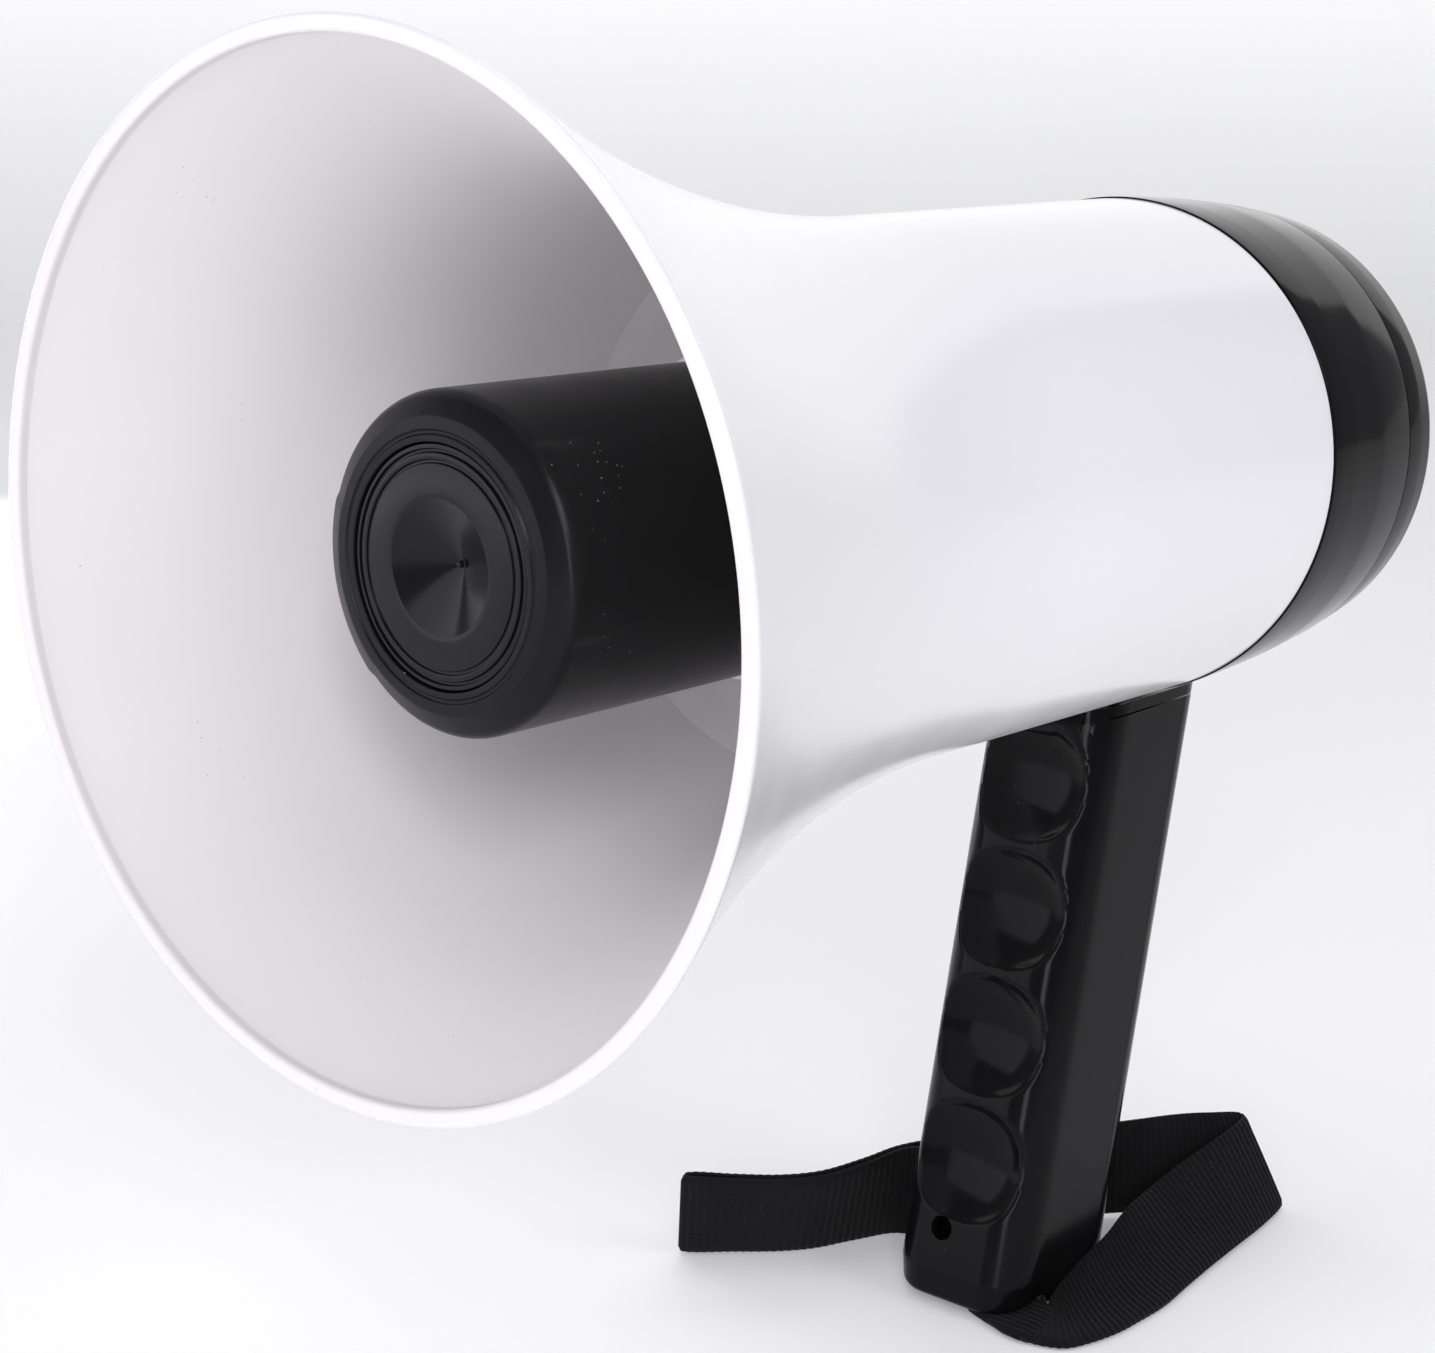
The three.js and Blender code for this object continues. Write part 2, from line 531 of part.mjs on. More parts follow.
// ---------------------------------------------------------------- wrist strap
// The webbing stands on its edge around the grip. Its middle line, seen from above.
const strapRoute = [
  [14, 157.2], [21.5, 158.6], [25.6, 170], [28.2, 190], [28.8, 212], [27.4, 236], [25.2, 241.4],
  [20.6, 238], [4, 218.5], [-14, 201.5], [-28.6, 180.5], [-33.2, 168.6], [-37.4, 160], [-42, 153.6],
  [-49.6, 146.6], [-55.6, 141.6], [-56.7, 140.1], [-56, 138.9], [-54.4, 139.6], [-48.2, 145.1],
  [-40.5, 152.2], [-35.6, 159], [-31.3, 167.8], [-26.6, 176.4], [-22.6, 177.8], [-19.4, 173],
  [-18.5, 168], [-18.4, 164.5],
];

function strapLoop() {
  const half = STRAP_THICKNESS / 2;
  const line = new THREE.CatmullRomCurve3(strapRoute.map(([x, y]) => new THREE.Vector3(x, y, 0)),
    false, 'centripetal').getPoints(72);
  const sides = [1, -1].map((side) => line.map((p, i) => {
    const before = line[Math.max(i - 1, 0)], after = line[Math.min(i + 1, line.length - 1)];
    const along = after.clone().sub(before).normalize();
    return new THREE.Vector2(p.x - side * half * along.y, p.y + side * half * along.x);
  }));
  const shape = new THREE.Shape([...sides[0], ...sides[1].reverse()]);
  return new THREE.ExtrudeGeometry(shape, { depth: STRAP_WIDTH, bevelEnabled: false })
    .translate(0, 0, FLOOR);
}

function wristStrap() {
  const riserBack = STRAP_SLOT[1] - 0.7;
  const flat = box(-19, 18.5, 160.6, riserBack, FLOOR, FLOOR + STRAP_THICKNESS);
  const lead = box(-1.5, 18.5, 156.6, 162, FLOOR, FLOOR + STRAP_THICKNESS);
  const riser = box(-11, 11, riserBack - STRAP_THICKNESS, riserBack, FLOOR, -151.5);
  const loop = cut(strapLoop(), box(-10, 18, 150, 162, FLOOR + STRAP_THICKNESS, FLOOR + 40));
  return cut(join(loop, flat, lead, riser), rod('y', 4.8, STRAP_EYE, 160, 175, 12));
}

add('wrist_strap', wristStrap(), blackFabric);

export default root;
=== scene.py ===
"""Looks of a handheld megaphone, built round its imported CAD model. Metres, in the CAD frame."""
import math

import bmesh
import bpy
import numpy as np
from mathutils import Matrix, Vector
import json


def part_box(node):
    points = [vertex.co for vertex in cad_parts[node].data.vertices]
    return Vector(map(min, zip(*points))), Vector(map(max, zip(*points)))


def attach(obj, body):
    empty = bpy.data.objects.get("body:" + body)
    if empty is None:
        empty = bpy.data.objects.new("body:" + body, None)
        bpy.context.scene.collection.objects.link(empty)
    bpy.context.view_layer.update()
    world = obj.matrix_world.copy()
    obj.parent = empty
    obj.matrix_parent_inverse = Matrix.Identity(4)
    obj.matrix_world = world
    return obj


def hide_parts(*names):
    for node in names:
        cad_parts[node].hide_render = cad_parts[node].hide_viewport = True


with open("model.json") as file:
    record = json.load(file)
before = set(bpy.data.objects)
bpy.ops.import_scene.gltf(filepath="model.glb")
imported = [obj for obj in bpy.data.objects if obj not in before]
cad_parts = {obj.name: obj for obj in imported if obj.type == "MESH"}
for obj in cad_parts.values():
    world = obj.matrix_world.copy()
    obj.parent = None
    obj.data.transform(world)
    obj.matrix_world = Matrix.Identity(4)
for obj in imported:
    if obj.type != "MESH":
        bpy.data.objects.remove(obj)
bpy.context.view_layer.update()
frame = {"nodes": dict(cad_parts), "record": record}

MM = 0.001
bell_low, bell_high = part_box("horn_bell")
AXIS_Z = (bell_low.z + bell_high.z) / 2     # height of the horn's axis
MOUTH_Y = bell_low.y                        # mouth plane
FLOOR = -AXIS_Z / MM                        # floor below the axis, in millimetres
RAKE = math.atan(0.25)                      # the grip leans towards the mouth


def front_of(node):
    """Where a CAD node begins along the axis, in millimetres behind the mouth."""
    return (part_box(node)[0].y - MOUTH_Y) / MM


def back_of(node):
    """Where it ends along the axis."""
    return (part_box(node)[1].y - MOUTH_Y) / MM


def centre_of(node):
    """Its x and z in millimetres from the horn's axis."""
    low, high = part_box(node)
    return (low.x + high.x) / 2 / MM, ((low.z + high.z) / 2 - AXIS_Z) / MM


def half_width(node):
    low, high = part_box(node)
    return (high.x - low.x) / 2 / MM


PIVOT_S = (front_of("hinge_pin") + back_of("hinge_pin")) / 2
PIVOT_Z = centre_of("hinge_pin")[1]


# ---------------------------------- camera
def make_camera():
    data = bpy.data.cameras.new("camera")
    data.lens = 62.2
    data.sensor_width = 36
    data.clip_start = 0.01
    camera = bpy.data.objects.new("camera", data)
    bpy.context.scene.collection.objects.link(camera)
    camera.location = (0.2694, MOUTH_Y - 0.2267, AXIS_Z + 0.0643)
    forward = Vector((-0.6387, 0.7383, -0.2169))
    camera.rotation_euler = forward.to_track_quat("-Z", "Y").to_euler()
    bpy.context.scene.camera = camera


make_camera()


# ---------------------------------- materials
class Nodes:
    """A material's node tree, with short ways to add the nodes that every finish here uses."""

    def __init__(self, name, **inputs):
        self.material = bpy.data.materials.new(name)
        self.material.use_nodes = True
        self.tree = self.material.node_tree
        self.shader = self.tree.nodes["Principled BSDF"]
        for socket, value in inputs.items():
            self.shader.inputs[socket.replace("_", " ")].default_value = value
        self.place = self.add("ShaderNodeTexCoord").outputs["Object"]

    def add(self, kind, **settings):
        node = self.tree.nodes.new(kind)
        for key, value in settings.items():
            setattr(node, key, value)
        return node

    def link(self, source, target):
        self.tree.links.new(source, target)

    def noise(self, scale, detail=3.0, roughness=0.5, stretch=None):
        node = self.add("ShaderNodeTexNoise")
        node.inputs["Scale"].default_value = scale
        node.inputs["Detail"].default_value = detail
        node.inputs["Roughness"].default_value = roughness
        place = self.place
        if stretch:
            mapping = self.add("ShaderNodeMapping")
            mapping.inputs["Scale"].default_value = stretch
            self.link(place, mapping.inputs["Vector"])
            place = mapping.outputs["Vector"]
        self.link(place, node.inputs["Vector"])
        return node.outputs["Fac"]

    def cells(self, scale, randomness=1.0):
        node = self.add("ShaderNodeTexVoronoi")
        node.inputs["Scale"].default_value = scale
        node.inputs["Randomness"].default_value = randomness
        self.link(self.place, node.inputs["Vector"])
        return node

    def spread(self, value, low, high, to_low=0.0, to_high=1.0):
        node = self.add("ShaderNodeMapRange")
        limits = {"From Min": low, "From Max": high, "To Min": to_low, "To Max": to_high}
        for socket, number in limits.items():
            node.inputs[socket].default_value = number
        self.link(value, node.inputs["Value"])
        return node.outputs["Result"]

    def math(self, operation, a, b):
        node = self.add("ShaderNodeMath", operation=operation)
        for socket, value in zip(node.inputs, (a, b)):
            if isinstance(value, float):
                socket.default_value = value
            else:
                self.link(value, socket)
        return node.outputs[0]

    def mix(self, share, a, b):
        node = self.add("ShaderNodeMix", data_type="RGBA")
        self.link(share, node.inputs["Factor"])
        for socket, value in zip((node.inputs["A"], node.inputs["B"]), (a, b)):
            if isinstance(value, tuple):
                socket.default_value = (*value, 1.0)
            else:
                self.link(value, socket)
        return node.outputs["Result"]

    def bump(self, height, strength, distance, normal=None):
        node = self.add("ShaderNodeBump")
        node.inputs["Strength"].default_value = strength
        node.inputs["Distance"].default_value = distance
        self.link(height, node.inputs["Height"])
        if normal:
            self.link(normal, node.inputs["Normal"])
        return node.outputs["Normal"]

    def specks(self, scale, radius, patches, share):
        """Sparse dots: small cell centres, kept only where a slow noise is high."""
        dots = self.spread(self.cells(scale).outputs["Distance"], radius, radius * 0.6)
        where = self.spread(self.noise(patches, 2.0), 1.0 - share, 1.0 - share + 0.03)
        return self.math("MULTIPLY", dots, where)


def moulded(name, colour, roughness, grain, dust, dust_share, tint, orange_peel=0.0, specular=0.5):
    """Injection-moulded plastic: slight flow marks in colour and gloss, fine grain, sparse dust."""
    n = Nodes(name, Specular_IOR_Level=specular)
    flow = n.noise(22.0, 2.0, 0.4, (1.0, 0.35, 1.0))
    darker = tuple(c * (1.0 - tint) for c in colour)
    base = n.mix(n.spread(flow, 0.35, 0.65), darker, colour)
    specks = n.specks(620.0, 0.09, 60.0, dust_share)
    n.link(n.mix(specks, base, dust), n.shader.inputs["Base Color"])
    fine = n.noise(900.0, 2.0, 0.6)
    rough = n.spread(n.noise(75.0, 4.0, 0.6), 0.3, 0.7, roughness - 0.03, roughness + 0.03)
    n.link(n.math("ADD", rough, n.math("MULTIPLY", specks, 0.4)), n.shader.inputs["Roughness"])
    normal = n.bump(fine, grain, 0.0001)
    if orange_peel:
        normal = n.bump(n.noise(150.0, 2.0, 0.4), orange_peel, 0.0002, normal)
    n.link(n.bump(specks, 0.25, 0.0002, normal), n.shader.inputs["Normal"])
    return n.material


def webbing_material():
    """Black ribbed webbing: the ribs are in the mesh, the yarns that cross them are here."""
    n = Nodes("webbing", Specular_IOR_Level=0.12, Sheen_Weight=0.06, Sheen_Roughness=0.45)
    yarn = n.cells(2600.0, 0.75).outputs["Distance"]
    fuzz = n.noise(1500.0, 4.0, 0.7)
    fade = n.noise(90.0, 3.0, 0.55)
    base = n.mix(n.spread(fade, 0.3, 0.7), (0.0035, 0.0035, 0.004), (0.0065, 0.0063, 0.0068))
    lint = n.specks(900.0, 0.07, 130.0, 0.3)
    base = n.mix(n.spread(yarn, 0.1, 0.6, 0.0, 0.35), base, (0.011, 0.011, 0.0115))
    n.link(n.mix(lint, base, (0.22, 0.22, 0.22)), n.shader.inputs["Base Color"])
    n.link(n.spread(fuzz, 0.3, 0.7, 0.72, 0.92), n.shader.inputs["Roughness"])
    normal = n.bump(fuzz, 0.5, 0.00012)
    n.link(n.bump(yarn, 0.55, 0.00015, normal), n.shader.inputs["Normal"])
    return n.material


def metal(name, colour, roughness, brushed=(1.0, 1.0, 1.0)):
    """Bare metal with fine streaks, stretched where it is brushed."""
    n = Nodes(name, Metallic=1.0)
    streaks = n.noise(900.0, 3.0, 0.6, brushed)
    n.link(n.mix(n.spread(streaks, 0.3, 0.7), tuple(c * 0.9 for c in colour), colour),
           n.shader.inputs["Base Color"])
    n.link(n.spread(streaks, 0.3, 0.7, roughness - 0.06, roughness + 0.06), n.shader.inputs["Roughness"])
    n.link(n.bump(streaks, 0.06, 0.0001), n.shader.inputs["Normal"])
    return n.material


WHITE = moulded("white_gloss", (0.88, 0.875, 0.88), 0.17,
                grain=0.015, dust=(0.62, 0.6, 0.56), dust_share=0.3, tint=0.012, orange_peel=0.05)
# Inner white, rougher than the outside and tinted warm: the warm tint is painted warm shade for the deep
# throat, which light bouncing between the walls deepens.
WHITE_INSIDE_WARM_SHADE = moulded("white_inside_warm_shade", (0.9, 0.874, 0.874), 0.42,
                       grain=0.03, dust=(0.4, 0.38, 0.34), dust_share=0.36, tint=0.02)
GLOSS = moulded("black_gloss", (0.005, 0.005, 0.0055), 0.1,
                grain=0.02, dust=(0.16, 0.16, 0.16), dust_share=0.3, tint=0.25, orange_peel=0.04,
                specular=0.08)
GRIP = moulded("black_grip", (0.005, 0.005, 0.0055), 0.15,
               grain=0.03, dust=(0.16, 0.16, 0.16), dust_share=0.31, tint=0.25, orange_peel=0.05,
               specular=0.1)
SATIN = moulded("black_satin", (0.006, 0.006, 0.0064), 0.3,
                grain=0.06, dust=(0.4, 0.4, 0.38), dust_share=0.42, tint=0.2, specular=0.17)
CONE = moulded("black_cone", (0.006, 0.006, 0.0064), 0.16,
               grain=0.02, dust=(0.3, 0.3, 0.3), dust_share=0.3, tint=0.2, specular=0.22)
PANEL = moulded("black_panel", (0.014, 0.014, 0.015), 0.5,
                grain=0.35, dust=(0.2, 0.2, 0.2), dust_share=0.28, tint=0.2)
RUBBER = moulded("black_rubber", (0.018, 0.018, 0.018), 0.68,
                 grain=0.5, dust=(0.12, 0.12, 0.12), dust_share=0.3, tint=0.2)
RED = moulded("red_key", (0.42, 0.014, 0.01), 0.36,
              grain=0.05, dust=(0.5, 0.2, 0.2), dust_share=0.25, tint=0.15)
INNER = moulded("dark_inner", (0.03, 0.03, 0.033), 0.5,
                grain=0.1, dust=(0.1, 0.1, 0.1), dust_share=0.28, tint=0.2)
SLEEVE = moulded("cell_sleeve", (0.03, 0.055, 0.11), 0.28,
                 grain=0.02, dust=(0.2, 0.2, 0.2), dust_share=0.25, tint=0.2)
BOARD = moulded("board", (0.012, 0.11, 0.04), 0.34,
                grain=0.05, dust=(0.3, 0.4, 0.3), dust_share=0.3, tint=0.3)
FILM = moulded("diaphragm", (0.45, 0.3, 0.13), 0.45,
               grain=0.1, dust=(0.5, 0.4, 0.2), dust_share=0.25, tint=0.2)
FERRITE = moulded("ferrite", (0.02, 0.02, 0.022), 0.62,
                  grain=0.6, dust=(0.1, 0.1, 0.1), dust_share=0.3, tint=0.3)
MARK = moulded("white_mark", (0.75, 0.75, 0.74), 0.45,
               grain=0.1, dust=(0.5, 0.5, 0.5), dust_share=0.25, tint=0.1)
LENS = moulded("led_lens", (0.5, 0.02, 0.012), 0.12,
               grain=0.01, dust=(0.5, 0.1, 0.1), dust_share=0.25, tint=0.1)
STEEL = metal("steel", (0.66, 0.66, 0.68), 0.28)
COPPER = metal("copper", (0.68, 0.34, 0.17), 0.32, (0.1, 8.0, 0.1))
WEBBING = webbing_material()

NODE_FINISH = {
    "grip_bracket": GLOSS, "hinge_pin": INNER, "circuit_board": BOARD, "diaphragm": FILM,
    "ferrite_magnet": FERRITE, "voice_coil": COPPER, "mic_boot": RUBBER,
}
SLOT_FINISH = {
    "white_shell": WHITE, "black_gloss": GLOSS, "black_satin": SATIN, "black_rubber": RUBBER,
    "red_button": RED, "inner_plastic": INNER, "steel": STEEL, "ferrite": FERRITE, "copper": COPPER,
    "diaphragm_film": FILM, "board": BOARD, "cell_sleeve": SLEEVE, "led": LENS, "webbing": WEBBING,
}


def finish_cad_nodes():
    """The finish of every CAD solid that keeps its own mesh."""
    slots = {row["node"]: row["material_slot"] for row in frame["record"]["subparts"]}
    for name, node in frame["nodes"].items():
        node.data.materials.clear()
        node.data.materials.append(NODE_FINISH.get(name, SLOT_FINISH[slots[name]]))
        node.data.set_sharp_from_angle(angle=math.radians(32))


finish_cad_nodes()


# ---------------------------------- meshes
def place(x, s, z):
    """Millimetres from the centre of the mouth, s along the axis, to metres in the CAD frame."""
    return (x * MM, MOUTH_Y + s * MM, AXIS_Z + z * MM)


def grip_place(x, v, w):
    """Millimetres from the grip's hinge, v towards its back and w along it, to metres."""
    s = PIVOT_S + v * math.cos(RAKE) + w * math.sin(RAKE)
    z = PIVOT_Z - v * math.sin(RAKE) + w * math.cos(RAKE)
    return place(x, s, z)


def make_piece(name, points, faces, material, body, slot, replaced=(), angle=35, indices=None):
    """A mesh on a body, in place of the CAD nodes named in replaced. A tool has no body."""
    mesh = bpy.data.meshes.new(name)
    mesh.from_pydata([tuple(p) for p in points], [], [tuple(f) for f in faces])
    mesh.validate()
    bm = bmesh.new()
    bm.from_mesh(mesh)
    bmesh.ops.recalc_face_normals(bm, faces=bm.faces)
    bm.to_mesh(mesh)
    bm.free()
    for m in material if isinstance(material, list) else [material]:
        mesh.materials.append(m)
    if indices is not None:
        mesh.polygons.foreach_set("material_index", indices)
    piece = bpy.data.objects.new(name, mesh)
    bpy.context.scene.collection.objects.link(piece)
    smooth(piece, angle)
    if body:
        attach(piece, body)
    if replaced:
        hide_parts(*replaced)
    return piece


def smooth(piece, angle):
    piece.data.polygons.foreach_set("use_smooth", [True] * len(piece.data.polygons))
    piece.data.set_sharp_from_angle(angle=math.radians(angle))


def rounded(points, steps=5, closed=True):
    """The outline with every corner that names a radius, as a third number, turned into an arc."""
    result = []
    count = len(points)
    for i, point in enumerate(points):
        here = Vector(point[:2])
        radius = point[2] if len(point) > 2 else 0
        if not radius or (not closed and i in (0, count - 1)):
            result.append(tuple(here))
            continue
        before = Vector(points[i - 1][:2]) - here
        after = Vector(points[(i + 1) % count][:2]) - here
        half = before.angle(after) / 2
        reach = min(radius / math.tan(half), before.length * 0.49, after.length * 0.49)
        radius = reach * math.tan(half)
        a, b = here + before.normalized() * reach, here + after.normalized() * reach
        centre = here + (before.normalized() + after.normalized()).normalized() * (radius / math.sin(half))
        arm = a - centre
        turn = arm.angle_signed(b - centre)
        for k in range(steps + 1):
            angle = -turn * k / steps
            c, s = math.cos(angle), math.sin(angle)
            result.append((centre.x + arm.x * c - arm.y * s, centre.y + arm.x * s + arm.y * c))
    return result


def turned(outline, sides, centre=(0.0, 0.0), shape=None):
    """Points and faces of a body of revolution about the horn's direction. Outline: (radius, s).
    shape(angle, radius, s) may change a radius."""
    points, rings, faces = [], [], []
    for r, s in outline:
        if r < 1e-6:
            rings.append([len(points)])
            points.append(place(centre[0], s, centre[1]))
            continue
        ring = []
        for k in range(sides):
            angle = 2 * math.pi * k / sides
            radius = shape(angle, r, s) if shape else r
            x, z = radius * math.sin(angle), radius * math.cos(angle)
            ring.append(len(points))
            points.append(place(centre[0] + x, s, centre[1] + z))
        rings.append(ring)
    pairs = list(zip(rings, rings[1:]))
    if outline[0][0] > 1e-6:
        pairs.append((rings[-1], rings[0]))
    for a, b in pairs:
        for k in range(sides):
            j = (k + 1) % sides
            if len(a) == 1 and len(b) == 1:
                continue
            if len(a) == 1:
                faces.append((a[0], b[k], b[j]))
            elif len(b) == 1:
                faces.append((a[k], b[0], a[j]))
            else:
                faces.append((a[k], b[k], b[j], a[j]))
    return points, faces


def turned_piece(name, outline, sides, material, body, slot, replaced=(), centre=(0, 0), shape=None,
                 steps=5, angle=35, closed=True):
    points, faces = turned(rounded(outline, steps, closed), sides, centre, shape)
    return make_piece(name, points, faces, material, body, slot, replaced, angle)


def apply_modifiers(piece):
    bpy.context.view_layer.update()
    evaluated = piece.evaluated_get(bpy.context.evaluated_depsgraph_get())
    mesh = bpy.data.meshes.new_from_object(evaluated)
    piece.modifiers.clear()
    piece.data = mesh


def combine(piece, other, operation):
    """Cuts, joins or crosses the piece with another object, which is used up."""
    modifier = piece.modifiers.new("combine", "BOOLEAN")
    modifier.operation = operation
    modifier.solver = "EXACT"
    modifier.object = other
    apply_modifiers(piece)
    bpy.data.objects.remove(other)


def carve(piece, tools, operation="DIFFERENCE"):
    """The same with tools given as (points, faces)."""
    for points, faces in tools:
        combine(piece, make_piece("tool", points, faces, GLOSS, None, None), operation)


def soften(piece, width, segments=3, limit=40):
    """A small bevel on every edge sharper than the limit."""
    modifier = piece.modifiers.new("soften", "BEVEL")
    modifier.width = width * MM
    modifier.segments = segments
    modifier.limit_method = "ANGLE"
    modifier.angle_limit = math.radians(limit)
    modifier.harden_normals = False
    apply_modifiers(piece)
    smooth(piece, 35)


def prism(outline, low, high, where):
    """Points and faces of a flat outline, (a, b) pairs, pushed from low to high.
    where(a, b, h) places a point."""
    count = len(outline)
    points = [where(a, b, low) for a, b in outline] + [where(a, b, high) for a, b in outline]
    faces = [(i, (i + 1) % count, count + (i + 1) % count, count + i) for i in range(count)]
    faces += [tuple(range(count))[::-1], tuple(range(count, 2 * count))]
    return points, faces


def prisms(outlines, low, high):
    """One set of points and faces for several outlines, all pushed along the horn's axis."""
    points, faces = [], []
    for outline in outlines:
        start = len(points)
        more, sides = prism(outline, low, high, along_axis)
        points += more
        faces += [tuple(i + start for i in face) for face in sides]
    return points, faces


def circle(x, z, radius, sides=48):
    return [(x + radius * math.cos(2 * math.pi * k / sides), z + radius * math.sin(2 * math.pi * k / sides))
            for k in range(sides)]


def along_axis(a, b, h):
    return place(a, h, b)


def along_x(a, b, h):
    return place(h, a, b)


def upright(a, b, h):
    return place(a, b, h)


def through_grip(a, b, h):
    return grip_place(a, h, b)


def rectangle(x, z, half_x, half_z, radius, steps=5):
    corners = [(x - half_x, z - half_z, radius), (x + half_x, z - half_z, radius),
               (x + half_x, z + half_z, radius), (x - half_x, z + half_z, radius)]
    return rounded(corners, steps)


# ---------------------------------- horn bell and barrel
RIM_R = half_width("horn_bell")
FLARE_LENGTH = 120.0
BARREL_R = 49.0
BARREL_END = back_of("horn_bell")
BARREL_END_R = 50.2
WALL = 2.0
LIP = 3.3


def flare(s):
    """Outer radius of the horn."""
    if s < FLARE_LENGTH:
        return BARREL_R + (RIM_R - BARREL_R) * (1 - s / FLARE_LENGTH) ** 2
    return BARREL_R + (BARREL_END_R - BARREL_R) * (s - FLARE_LENGTH) / (BARREL_END - FLARE_LENGTH)


def horn_bell():
    """Horn and barrel in one turned piece, its inner wall in a duller white tinted warm as painted shade."""
    barrel = np.linspace(126, 204, 14)
    outside = [(flare(s), s) for s in (*np.linspace(2.2, FLARE_LENGTH, 60), *barrel)]
    inside = [(flare(s) - WALL, s) for s in (*barrel[::-1], *np.linspace(FLARE_LENGTH, 4.2, 60))]
    outline = rounded(
        [(RIM_R - 0.02, 0.0, 0.9), *outside, (BARREL_END_R, BARREL_END, 0.25),
         (BARREL_END_R - WALL, BARREL_END, 0.25), *inside,
         (RIM_R - LIP + 0.1, 2.0, 1.3), (RIM_R - LIP, 0.0, 0.8)], 6)
    sides = 224
    points, faces = turned(outline, sides)
    first_inside = next(i for i, (r, s) in enumerate(outline) if i > 60 and r < flare(s) - 1.0)
    indices = []
    for ring in range(len(outline)):
        indices += [1 if ring >= first_inside - 1 else 0] * sides
    make_piece("smooth_horn_bell", points, faces, [WHITE, WHITE_INSIDE_WARM_SHADE], "horn", "white_shell",
               ["horn_bell"], 40, indices)


horn_bell()


# ---------------------------------- centre tube
TUBE_R = half_width("driver_housing")
TUBE_FRONT = front_of("driver_housing")
TUBE_REAR = back_of("driver_housing")
COVER_R = 18.6
PAD_CENTRES = (14, 194)                     # degrees round the tube
PAD_HALF = 33
PAD_RISE = 0.42
PAD_INNER_R = 22.0
PAD_END = 36.0


def tube_pads(angle, radius, s):
    """Two low pads on opposite sides of the tube that fade out behind its nose."""
    if radius < PAD_INNER_R or s > PAD_END:
        return radius
    rise = 0.0
    for centre in PAD_CENTRES:
        away = abs((math.degrees(math.pi / 2 - angle) - centre + 180) % 360 - 180)
        edge = min(1.0, max(0.0, (PAD_HALF - away) / 4.0 + 0.5))
        rise = max(rise, edge * edge * (3 - 2 * edge))
    fade = min(1.0, (PAD_END - s) / 9.0)
    return radius + PAD_RISE * rise * fade * min(1.0, (radius - PAD_INNER_R) / 2.5)


def driver_housing():
    turned_piece("smooth_driver_housing", [
        (COVER_R + 0.25, TUBE_FRONT, 0.25), (19.8, TUBE_FRONT), (20.1, TUBE_FRONT + 0.35, 0.2),
        (20.5, TUBE_FRONT + 0.35, 0.2), (20.8, TUBE_FRONT + 0.05, 0.2), (22.6, TUBE_FRONT + 0.3, 1.2),
        (TUBE_R, TUBE_FRONT + 2.4, 2.6), (TUBE_R, TUBE_FRONT + 6), (TUBE_R, TUBE_FRONT + 9),
        (TUBE_R, TUBE_FRONT + 12), (TUBE_R, TUBE_FRONT + 15), (TUBE_R, TUBE_REAR, 0.4),
        (24.4, TUBE_REAR, 0.3), (24.4, 28.6), (14.8, 28.6), (14.8, 26.3), (COVER_R + 0.25, 26.3),
    ], 240, SATIN, "horn", "black_satin", ["driver_housing"], steps=8, angle=32, shape=tube_pads)


def driver_cover():
    face = TUBE_FRONT + 0.3
    groove = 0.4
    turned_piece("smooth_driver_cover", [
        (0.0, face + 3.9), (0.45, face + 3.95, 0.2), (0.55, face + 4.9, 0.2), (10.5, face + 0.05, 0.25),
        (11.2, face, 0.3),
        (15.6, face, 0.15), (15.75, face + groove, 0.1), (16.15, face + groove, 0.1), (16.3, face, 0.15),
        (17.2, face, 0.15), (17.35, face + groove * 1.4, 0.1), (17.75, face + groove * 1.4, 0.1),
        (17.9, face, 0.15), (COVER_R, face + 0.1, 0.2), (COVER_R, 26), (14.4, 26), (14.4, 28.4), (0.0, 28.4),
    ], 144, CONE, "horn", "black_satin", ["driver_cover"], steps=4, angle=30, closed=False)


def reflector_bowl():
    turned_piece("smooth_reflector_bowl", [
        (0.0, 110.0), (1.2, 111.0, 1.0), (4, 115), (9, 120, 4), (15, 124.2, 6), (22, 126.2, 6),
        (29, 126.2, 6), (36, 123.8, 8), (41.5, 119, 8), (44.8, 112.5, 8), (46.5, 107.2, 6), (47.55, 103),
        (47.15, 108), (46.4, 113), (46.4, 130), (0.0, 130),
    ], 128, WHITE_INSIDE_WARM_SHADE, "horn", "white_shell", ["reflector_bowl"], closed=False)


def housing_spider():
    spider = turned_piece("smooth_housing_spider", [
        (TUBE_R + 0.3, 90, 0.6), (28.8, 90, 1.0), (28.8, 104, 1.0), (TUBE_R + 0.3, 104, 0.6),
    ], 128, WHITE_INSIDE_WARM_SHADE, "horn", "white_shell", ["housing_spider"])
    for degrees in (60, 180, 300):
        angle = math.radians(degrees)

        def fin(a, b, h, c=math.cos(angle), s=math.sin(angle)):
            return place(a * c + h * s, b, -a * s + h * c)

        outline = rounded([(28.0, 92.0), (46.9, 92.0), (46.9, 103.6), (28.0, 103.6)], 3)
        carve(spider, [prism(outline, -1.2, 1.2, fin)], "UNION")
    soften(spider, 0.35, 2, 50)


driver_housing()
driver_cover()
reflector_bowl()
housing_spider()


# ---------------------------------- collar and rear cap
COLLAR_FRONT = front_of("rear_collar")
COLLAR_REAR = back_of("rear_collar")
CAP_END = back_of("rear_cap")
CAP_FRONT = COLLAR_REAR + 0.3


def rear_collar():
    start = BARREL_END + 0.15
    turned_piece("smooth_rear_collar", [
        (50.5, start, 0.3), (50.45, 211), (50.3, 216, 30), (49.7, 229, 60), (48.5, COLLAR_REAR, 0.5),
        (45.9, COLLAR_REAR, 0.2), (45.9, COLLAR_FRONT), (47.6, COLLAR_FRONT), (47.6, start),
    ], 200, GLOSS, "horn", "black_gloss", ["rear_collar"], steps=10)


